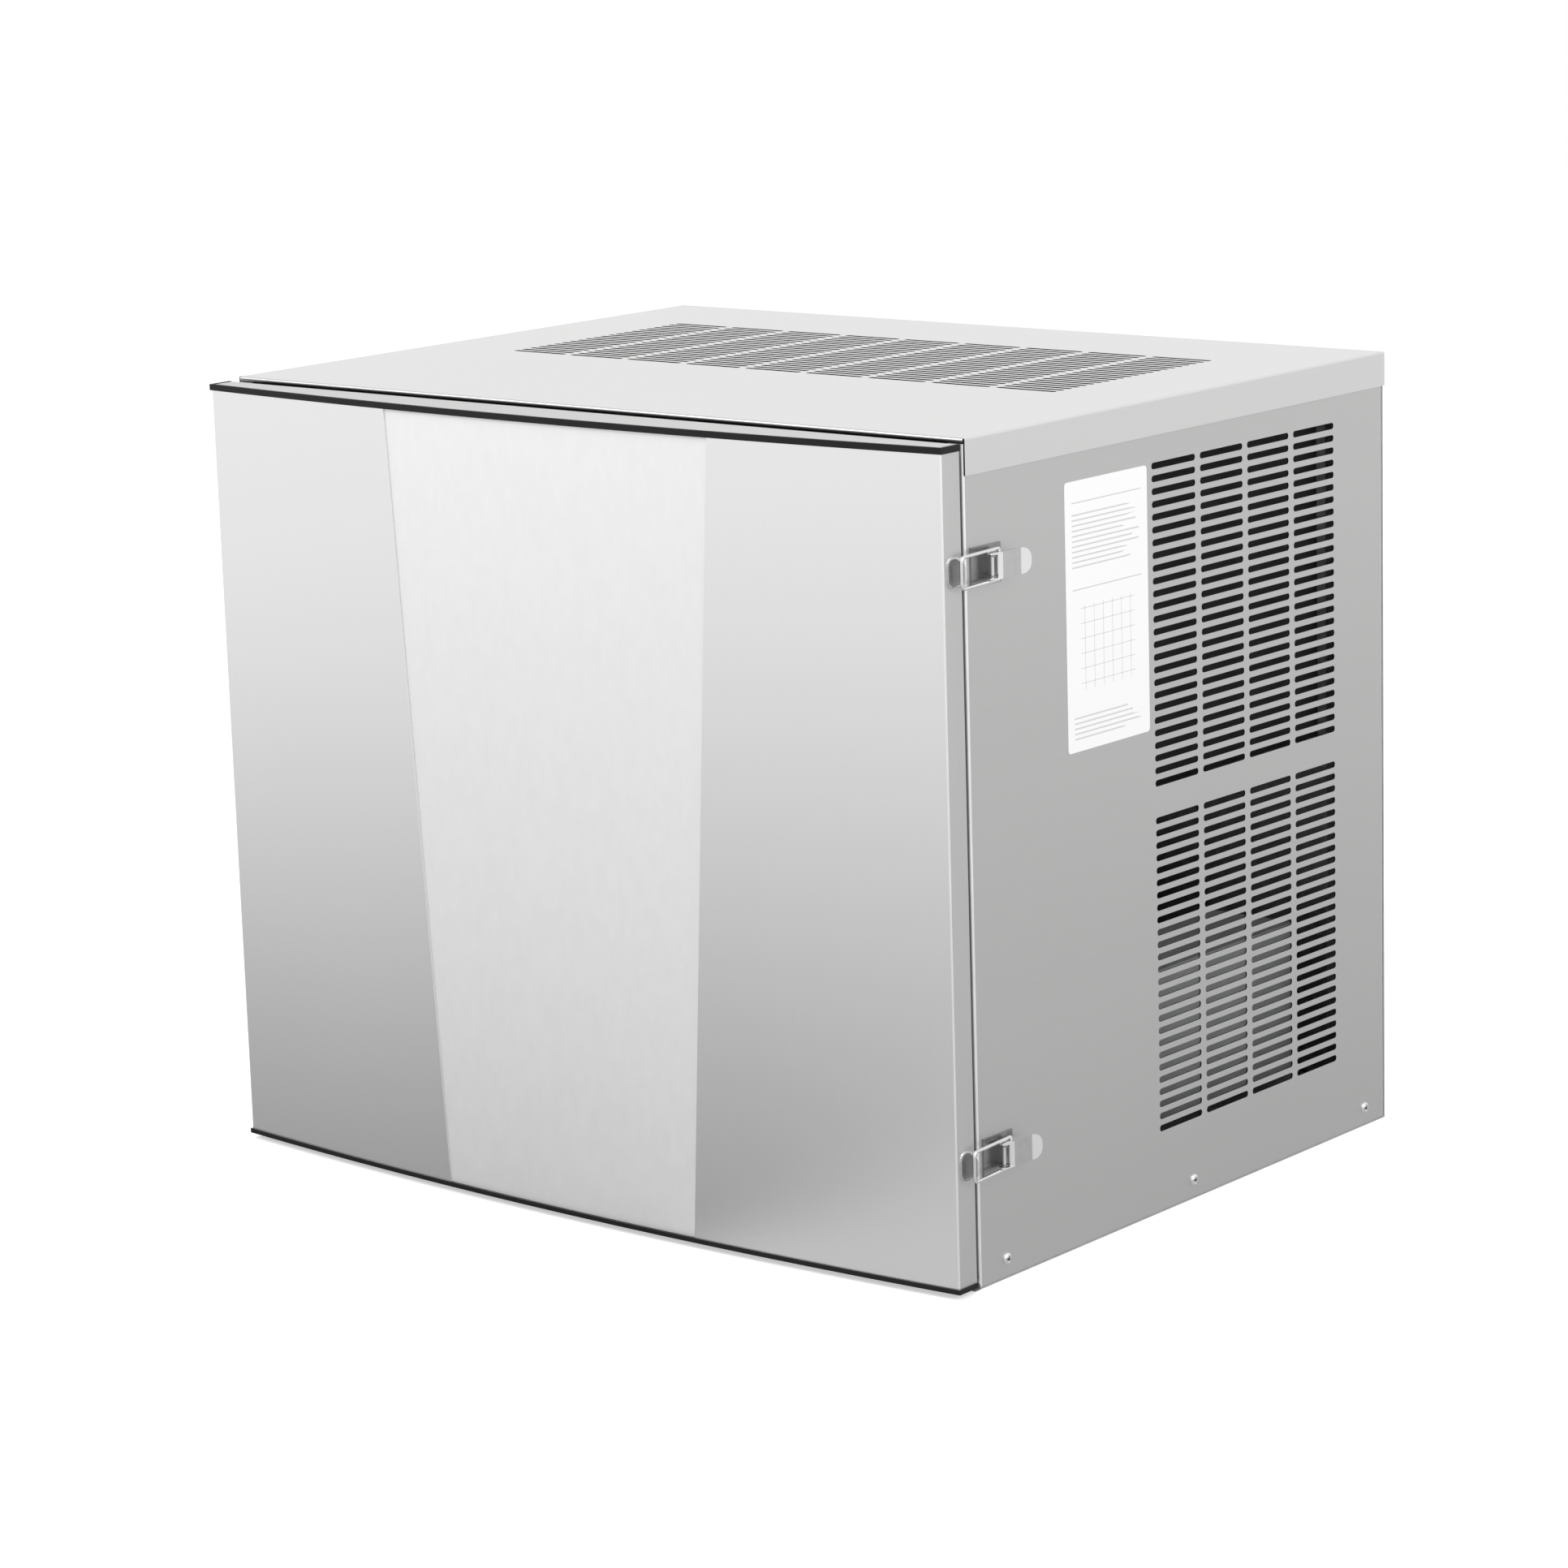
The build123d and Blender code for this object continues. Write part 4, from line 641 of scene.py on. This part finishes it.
# A wing's plan at one height: the short return at its slanted edge, a small bend, the bowed
# front, a bend round the door's end, and the end. The slanted edge moves out with height.
def wingSurface(look, hand):
    rise = np.linspace(0, 1, look["levels"])[:, None]
    edge = look["edgeBottom"] + (look["edgeTop"] - look["edgeBottom"]) * rise
    edgeFold, fold, bend = look["edgeFold"], look["fold"], look["bend"]
    turn = np.radians(np.linspace(180, 270, bend))[None]
    edgeY = bowedFront(edge, look)
    returnX, returnY = edge + 0 * turn[:, :1], edgeY + look["step"]
    firstX = edge + edgeFold + edgeFold * np.cos(turn)
    firstY = edgeY + edgeFold + edgeFold * np.sin(turn)
    across = np.linspace(0, 1, look["columns"])[None, 1:-1]
    across = np.concatenate([[[look["support"]]], across, [[1 - look["support"]]]], 1)
    frontX = edge + edgeFold + across * (look["half"] - fold - edge - edgeFold)
    turn = np.radians(np.linspace(270, 360, bend))[None]
    lastX = look["half"] - fold + fold * np.cos(turn) + 0 * rise
    lastY = bowedFront(look["half"] - fold, look) + fold + fold * np.sin(turn) + 0 * rise
    endX, endY = look["half"] + 0 * rise, look["back"] + 0 * rise
    x = np.concatenate([returnX, firstX, frontX, lastX, endX], 1)
    y = np.concatenate([returnY, firstY, bowedFront(frontX, look), lastY, endY], 1)
    z = np.broadcast_to(look["bottom"] + (look["top"] - look["bottom"]) * rise, x.shape)
    points = np.stack([x * hand, y, z], -1)
    numbers = np.zeros(x.shape[1] - 1, int)
    # The door's end takes the second skin, a darker copy of the same steel that is painted shade, and the bend
    # round it the third, a painted highlight.
    numbers[-1], numbers[-bend:-1] = 1, 2
    body, faces = walled(points, look["sheet"], turned=hand < 0)
    numbers = np.tile(numbers, 2 * (look["levels"] - 1))
    return body, faces, np.concatenate([numbers, np.zeros(len(faces) - len(numbers), int)])


# A sheet with a wall: the grid, the same grid moved inwards along its normals, which are the
# cross product of the grid's two directions, and a rim round the border.
def walled(points, thickness, turned=False):
    rows, columns = points.shape[:2]
    normal = np.cross(np.gradient(points, axis=1), np.gradient(points, axis=0))
    normal *= (-1 if turned else 1) / np.linalg.norm(normal, axis=-1, keepdims=True)
    both = np.concatenate([points.reshape(-1, 3), (points - thickness * normal).reshape(-1, 3)])
    count = rows * columns
    grid = np.arange(count).reshape(rows, columns)
    border = np.concatenate([grid[0], grid[1:, -1], grid[-1, -2::-1], grid[-2:0:-1, 0]])
    following = np.roll(border, -1)
    rim = np.stack([border, border + count, following + count, following], -1)
    faces = gridFaces(rows, columns, turned=turned)
    inside = gridFaces(rows, columns, turned=not turned) + count
    return both, np.concatenate([faces, inside, rim[:, ::-1] if turned else rim])


for hand, name in ((1, "right"), (-1, "left")):
    wing = newPiece(f"{name}_wing_skin", [wingSurface(door, hand)], "door",
                    ["door_steel", "end_steel", "edge_steel"], smooth=True)
    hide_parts(f"door_{name}_wing")


# The middle panel: x goes evenly between the two slanted edges, y follows the bow and is set
# back by the step.
def middleSurface(look):
    rise = np.linspace(0, 1, look["levels"])[:, None]
    edge = look["edgeBottom"] + (look["edgeTop"] - look["edgeBottom"]) * rise
    x = edge * np.linspace(-1, 1, look["columns"])[None]
    z = np.broadcast_to(look["bottom"] + (look["top"] - look["bottom"]) * rise, x.shape)
    points = np.stack([x, bowedFront(x, look) + look["step"], z], -1)
    return *walled(points, look["sheet"]), 0


middle = newPiece("middle_skin", [middleSurface(door)], "door",
                  ["centre_steel"], smooth=True)
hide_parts("door_centre_panel")
print("door skins made")

# Wire bails of the toggle latches: from a pivot in the lever forward and round the strike.
latch = {
    "heights": {"upper": 0.554, "lower": 0.102},
    "panel": 0.3795,
    "front": -0.2815,
    "wire": 0.0014,
    "arm": 0.0117,
    "pivot": (0.0065, 0.033),
    "hook": 0.0030,
    "bar": (0.0100, -0.0168),
    "pivotBend": 0.0016,
    "barBend": 0.0042,
    "sides": 14,
}


# A path with bent corners: each corner becomes the parabola (1-t)^2 a + 2t(1-t) corner + t^2 b
# between points a and b that lie a bend's length before and after it.
def bentPath(corners, bends, steps=9):
    corners = np.asarray(corners, float)
    before = corners[:-2] - corners[1:-1]
    after = corners[2:] - corners[1:-1]
    bends = np.asarray(bends)[:, None]
    start = corners[1:-1] + before / np.linalg.norm(before, axis=1, keepdims=True) * bends
    end = corners[1:-1] + after / np.linalg.norm(after, axis=1, keepdims=True) * bends
    t = np.linspace(0, 1, steps)[None, :, None]
    curve = (1 - t) ** 2 * start[:, None] + 2 * t * (1 - t) * corners[1:-1, None] + t**2 * end[:, None]
    return np.concatenate([corners[:1], curve.reshape(-1, 3), corners[-1:]])


# A round wire along a path that lies in one plane: path + radius * (cos a * across + sin a *
# normal), where across is square to the path within the plane.
def wireTube(path, normal, radius, sides):
    along = np.gradient(path, axis=0)
    along /= np.linalg.norm(along, axis=1, keepdims=True)
    across = np.cross(normal, along)
    turn = np.linspace(0, 2 * math.pi, sides, endpoint=False)
    ring = np.cos(turn)[None, :, None] * across[:, None] + np.sin(turn)[None, :, None] * normal
    points = path[:, None] + radius * ring
    faces = [tuple(face) for face in gridFaces(len(path), sides, closedColumns=True, turned=True)]
    last = (len(path) - 1) * sides
    faces += [tuple(range(sides)), tuple(range(last + sides - 1, last - 1, -1))]
    return points.reshape(-1, 3), faces


for heightName, height in latch["heights"].items():
    for hand, sideName in ((1, "right"), (-1, "left")):
        pivotX, pivotY = (latch["panel"] + latch["pivot"][0]) * hand, latch["front"] + latch["pivot"][1]
        barX, barY = (latch["panel"] + latch["bar"][0]) * hand, latch["front"] + latch["bar"][1]
        inner, arm = latch["arm"] - latch["hook"], latch["arm"]
        corners = [(pivotX, pivotY, height + inner), (pivotX, pivotY, height + arm),
                   (barX, barY, height + arm), (barX, barY, height - arm),
                   (pivotX, pivotY, height - arm), (pivotX, pivotY, height - inner)]
        bends = [latch["pivotBend"], latch["barBend"], latch["barBend"], latch["pivotBend"]]
        normal = np.cross(np.subtract(corners[2], corners[1]), (0, 0, 1.0))
        tube = wireTube(bentPath(corners, bends), normal / np.linalg.norm(normal),
                        latch["wire"], latch["sides"])
        bail = newPiece(f"{heightName}_{sideName}_wire", [(*tube, 0)],
                        f"{heightName}_{sideName}_bail_body", ["latch_steel"],
                        smooth=True)
        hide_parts(f"{heightName}_{sideName}_bail")
print("latch wires made")

# Strikes on the door's ends: a dished rounded plate and a lip for the bail.
strike = {
    "face": 0.3825,
    "middle": -0.2990,
    "size": (0.0165, 0.0240),
    "corner": 0.0075,
    "rise": 0.0012,
    "dish": 0.0009,
    "lip": (-0.2967, -0.2955),
    "lipOut": 0.3915,
    "lipHalf": 0.009,
    "lipCorner": 0.004,
    "steps": 7,
}


# The plate is nested copies of one rounded outline, each shrunk towards its middle: the first
# two make the rim, the rest sink by a cosine to the dish's floor.
def strikePlate(look, height, hand):
    loop = roundedLoop(*look["size"], look["corner"], look["steps"])
    scale = np.array([1.0, 1.0, 0.94, 0.88, 0.76, 0.6, 0.4, 0.02])
    lift = np.array([0, 1, 1, 0.93, 0.6, 0.35, 0.25, 0.25]) * look["rise"]
    plan = loop[None] * scale[:, None, None]
    x = np.broadcast_to(hand * (look["face"] + lift)[:, None], plan.shape[:2])
    points = np.stack([x, look["middle"] + plan[..., 0], height + plan[..., 1]], -1)
    faces = gridFaces(*plan.shape[:2], closedColumns=True, turned=hand < 0)
    # The sunk rings take the second skin, a darker steel that is painted shade in the dish.
    numbers = np.repeat([0, 0, 0, 1, 1, 1, 1], plan.shape[1])
    return points, faces, numbers


# The lip is a plate square to the door's end; its outline's outer corners are rounded.
def strikeLip(look, height, hand):
    loop = roundedLoop(2 * (look["lipOut"] - look["face"]), 2 * look["lipHalf"], look["lipCorner"], 5)
    loop[:, 0] = np.maximum(loop[:, 0], 0)
    count = len(loop)
    points = np.concatenate(
        [np.column_stack([hand * (look["face"] + loop[:, 0]), np.full(count, y), height + loop[:, 1]])
         for y in look["lip"]]
    )
    faces = [tuple(range(count)), tuple(range(2 * count - 1, count - 1, -1))]
    faces += [(i, i + count, (i + 1) % count + count, (i + 1) % count) for i in range(count)]
    if hand < 0:
        faces = [face[::-1] for face in faces]
    return points, faces, 0


strikes = newPiece(
    "door_strikes",
    [part for height in latch["heights"].values() for hand in (1, -1)
     for part in (strikePlate(strike, height, hand), strikeLip(strike, height, hand))],
    "door", ["latch_steel", "dish_steel"],
)
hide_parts("latch_strikes")

# Screws along the foot of both sides: a domed head with a cross recess, and a plain shank.
screw = {
    "face": 0.3795,
    "places": (-0.2475, 0.0, 0.249),
    "height": 0.0155,
    "head": 0.0048,
    "rise": 0.0024,
    "recess": 0.0011,
    "arm": 0.0026,
    "armWidth": 0.0007,
    "shank": (0.0020, 0.006),
    "rings": 12,
    "sides": 32,
}


# The head over the plane is rise * sqrt(1 - r^2) at a share r of its radius; the cross is
# sunk where either arm, a narrow strip round an axis, passes.
def screwHead(look, y, hand):
    r = np.sin(np.linspace(0.02, math.pi / 2, look["rings"]))[:, None] * look["head"]
    turn = np.linspace(0, 2 * math.pi, look["sides"], endpoint=False)[None]
    u, v = r * np.cos(turn), r * np.sin(turn)
    lift = look["rise"] * np.sqrt(np.clip(1 - (r / look["head"]) ** 2, 0, 1)) + 0 * turn
    narrow, wide = np.minimum(abs(u), abs(v)), np.maximum(abs(u), abs(v))
    sunk = np.clip((look["armWidth"] - narrow) / look["armWidth"] * 3, 0, 1)
    sunk *= np.clip((look["arm"] - wide) / look["armWidth"], 0, 1)
    points = np.stack([hand * (look["face"] + lift - sunk * look["recess"]), y + u,
                       look["height"] + v], -1)
    faces = gridFaces(look["rings"], look["sides"], closedColumns=True, turned=hand > 0)
    # Faces deep in the cross and the small cap at its middle take the second skin, a near-black painted shade in
    # the recess.
    deep = sunk.reshape(-1)[faces].mean(1) > 0.5
    cap = [tuple(range(look["sides"]))[:: hand]]
    return points, [tuple(face) for face in faces] + cap, [*deep.astype(int), 1]


def screwShank(look, y, hand):
    radius, length = look["shank"]
    turn = np.linspace(0, 2 * math.pi, 12, endpoint=False)
    depth = np.array([0.0, -length])[:, None]
    points = np.stack([hand * (look["face"] + depth) + 0 * turn[None],
                       y + radius * np.cos(turn)[None] + 0 * depth,
                       look["height"] + radius * np.sin(turn)[None] + 0 * depth], -1)
    faces = [tuple(face) for face in gridFaces(2, 12, closedColumns=True, turned=hand > 0)]
    return points, faces + [tuple(range(12, 24))[:: -hand]], 0


screws = newPiece(
    "domed_screws",
    [part for hand in (1, -1) for y in screw["places"]
     for part in (screwHead(screw, y, hand), screwShank(screw, y, hand))],
    "cabinet", ["screw_steel", "cut_steel"], smooth=True,
)
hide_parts("casing_screws")
print("strikes and screws made")

# Rating plate position: a blank white card with ruled lines and an empty table.
card = {
    "face": 0.3795,
    "thickness": 0.0003,
    "middle": (-0.1055, 0.4968),
    "size": (0.106, 0.2085),
    "corner": 0.003,
}


def ruledCard(name, look):
    board = newBoard(name)
    x, y, z = board.split(board.place())
    across = (y - look["middle"][0]) / (look["size"][0] / 2)
    up = (z - look["middle"][1]) / (look["size"][1] / 2)
    inside = (abs(across) < 0.84) * 1.0
    ragged = board.noise(34.0, 0.0, stretched=(1, 1, 9))
    lines = (abs(((up * 26) % 1.0) - 0.5) < 0.16) * (across < ragged * 1.5 - 0.2) * inside
    upper = (up > 0.34) * (up < 0.78)
    foot = (up > -0.93) * (up < -0.72)
    rules = (abs(up - 0.2) < 0.004) * inside + (abs(up - 0.84) < 0.004) * inside
    tableArea = (abs(across) < 0.66) * (up > -0.55) * (up < 0.08)
    columns = (abs(((across * 4.5) % 1.0) - 0.5) < 0.035) * tableArea
    rows = (abs(((up * 9) % 1.0) - 0.5) < 0.03) * tableArea
    ink = (lines * (upper + foot) * 0.42 + rules * 0.5 + columns * 0.35 + rows * 0.35)
    ink = ink.math("MINIMUM", ink, 1.0)
    return board.finish(
        Base_Color=board.blendColour(ink, opaque((0.98, 0.98, 0.98)), opaque((0.3, 0.3, 0.3))),
        Roughness=0.45,
    )


cardLoop = roundedLoop(*card["size"], card["corner"], 6) + card["middle"]
cardCount = len(cardLoop)
cardPoints = np.concatenate(
    [
        np.column_stack([np.full(cardCount, card["face"] + depth), cardLoop])
        for depth in (0.0, card["thickness"])
    ]
)
cardFaces = [tuple(range(cardCount, 2 * cardCount)), tuple(range(cardCount - 1, -1, -1))]
cardFaces += [(i, (i + 1) % cardCount, (i + 1) % cardCount + cardCount, i + cardCount) for i in range(cardCount)]
newPiece("side_card", [(cardPoints, cardFaces, 0)], "cabinet", [ruledCard("side_card", card)])
print("card made")


# Camera at the photograph's place: azimuth 0 looks along +Y, elevation is above the horizon.
shot = {
    "place": (2.4877, -2.9848, 1.1398),
    "azimuth": 40.248,
    "elevation": 12.236,
    "roll": -1.729,
    "lens": 108.58,
}
azimuth, elevation, roll = (math.radians(shot[key]) for key in ("azimuth", "elevation", "roll"))
forward = Vector(
    (
        -math.sin(azimuth) * math.cos(elevation),
        math.cos(azimuth) * math.cos(elevation),
        -math.sin(elevation),
    )
)
level = forward.cross(Vector((0, 0, 1))).normalized()
upright = level.cross(forward)
sideways = level * math.cos(roll) + upright * math.sin(roll)
above = sideways.cross(forward)
cameraData = bpy.data.cameras.new("camera")
cameraData.lens, cameraData.sensor_width, cameraData.sensor_fit = shot["lens"], 36.0, "HORIZONTAL"
cameraData.clip_end = 100.0
camera = bpy.data.objects.new("camera", cameraData)
turned = Matrix((sideways, above, -forward)).transposed().to_4x4()
camera.matrix_world = Matrix.Translation(shot["place"]) @ turned
bpy.context.scene.collection.objects.link(camera)
bpy.context.scene.camera = camera

# Stage: a floor that looks white, but in reflections glows with a painted shade, grey near the object.
stageLook = {"size": 14.0, "world": 0.62, "lift": 0.5}
# (near tone, far tone, distance of the far tone) of the painted shade, to the door's side and to the cabinet's
# side
floorPaintedShade = {"door": (0.31, 0.95, 3.1), "side": (0.57, 0.80, 3.0)}
floorBoard = newBoard("floor")
floorX, floorY, floorZ = floorBoard.split(floorBoard.place())
distance = floorX.math("SQRT", floorX * floorX + floorY * floorY + 0.01)
fades = {
    sideName: floorBoard.node(
        "ShaderNodeMapRange",
        {"clamp": True},
        {"Value": distance, "From Min": 0.2, "From Max": reach, "To Min": near, "To Max": far},
    )
    for sideName, (near, far, reach) in floorPaintedShade.items()
}


def between(board, value, low, high):
    return board.node(
        "ShaderNodeMapRange",
        {"interpolation_type": "SMOOTHSTEP"},
        {"Value": value, "From Min": low, "From Max": high},
    )


toSide = between(floorBoard, floorX / distance, 0.15, 0.5)
fade = fades["door"] * (1 - toSide) + fades["side"] * toSide
seen = floorBoard.node("ShaderNodeLightPath")
paintedShadeFloor = floorBoard.node("ShaderNodeEmission", inputs={"Strength": fade})
paleFloor = floorBoard.node("ShaderNodeEmission", inputs={"Strength": stageLook["lift"]})
shadowed = floorBoard.node("ShaderNodeBsdfDiffuse", inputs={"Color": (0.9, 0.9, 0.9, 1)})
whiteFloor = floorBoard.node("ShaderNodeAddShader", inputs={0: paleFloor, 1: shadowed})
floorSkin = floorBoard.node("ShaderNodeMixShader", inputs={0: seen, 1: paintedShadeFloor, 2: whiteFloor})
floorBoard.node("ShaderNodeOutputMaterial", inputs={"Surface": floorSkin})
floorMesh = bpy.data.meshes.new("floor")
half = stageLook["size"] / 2
floorMesh.from_pydata(
    [(-half, -half, -0.0005), (half, -half, -0.0005), (half, half, -0.0005), (-half, half, -0.0005)],
    [], [(0, 1, 2, 3)],
)
floorMesh.materials.append(floorBoard.owner)
floor = bpy.data.objects.new("floor", floorMesh)
bpy.context.scene.collection.objects.link(floor)

world = bpy.data.worlds.new("studio")
bpy.context.scene.world = world
worldBoard = Board(world)
worldPath = worldBoard.node("ShaderNodeLightPath").socket.node
direct = Wire(worldBoard.tree, worldPath.outputs["Is Camera Ray"])
glossy = Wire(worldBoard.tree, worldPath.outputs["Is Glossy Ray"])
through = Wire(worldBoard.tree, worldPath.outputs["Is Transmission Ray"])
whiteRays = direct.math("MINIMUM", direct + glossy + through, 1.0)
strength = whiteRays * (1 - stageLook["world"]) + stageLook["world"]
sky = worldBoard.node("ShaderNodeBackground", inputs={"Color": (1, 1, 1, 1), "Strength": strength})
worldBoard.node("ShaderNodeOutputWorld", inputs={"Surface": sky})

lamps = {
    "key": dict(place=(-2.2, -2.6, 3.0), aim=(0, 0, 0.3), size=2.2, power=60.0),
    "fill": dict(place=(3.2, -0.6, 2.2), aim=(0.2, 0, 0.3), size=2.0, power=50.0),
}
for lampName, lamp in lamps.items():
    data = bpy.data.lights.new(lampName, "AREA")
    data.energy, data.size = lamp["power"], lamp["size"]
    lampObject = bpy.data.objects.new(lampName, data)
    lampObject.location = lamp["place"]
    lampObject.rotation_euler = (Vector(lamp["aim"]) - Vector(lamp["place"])).to_track_quat("-Z", "Y").to_euler()
    bpy.context.scene.collection.objects.link(lampObject)
bpy.context.scene.view_settings.view_transform = "Standard"
print("stage, lamps and camera set")
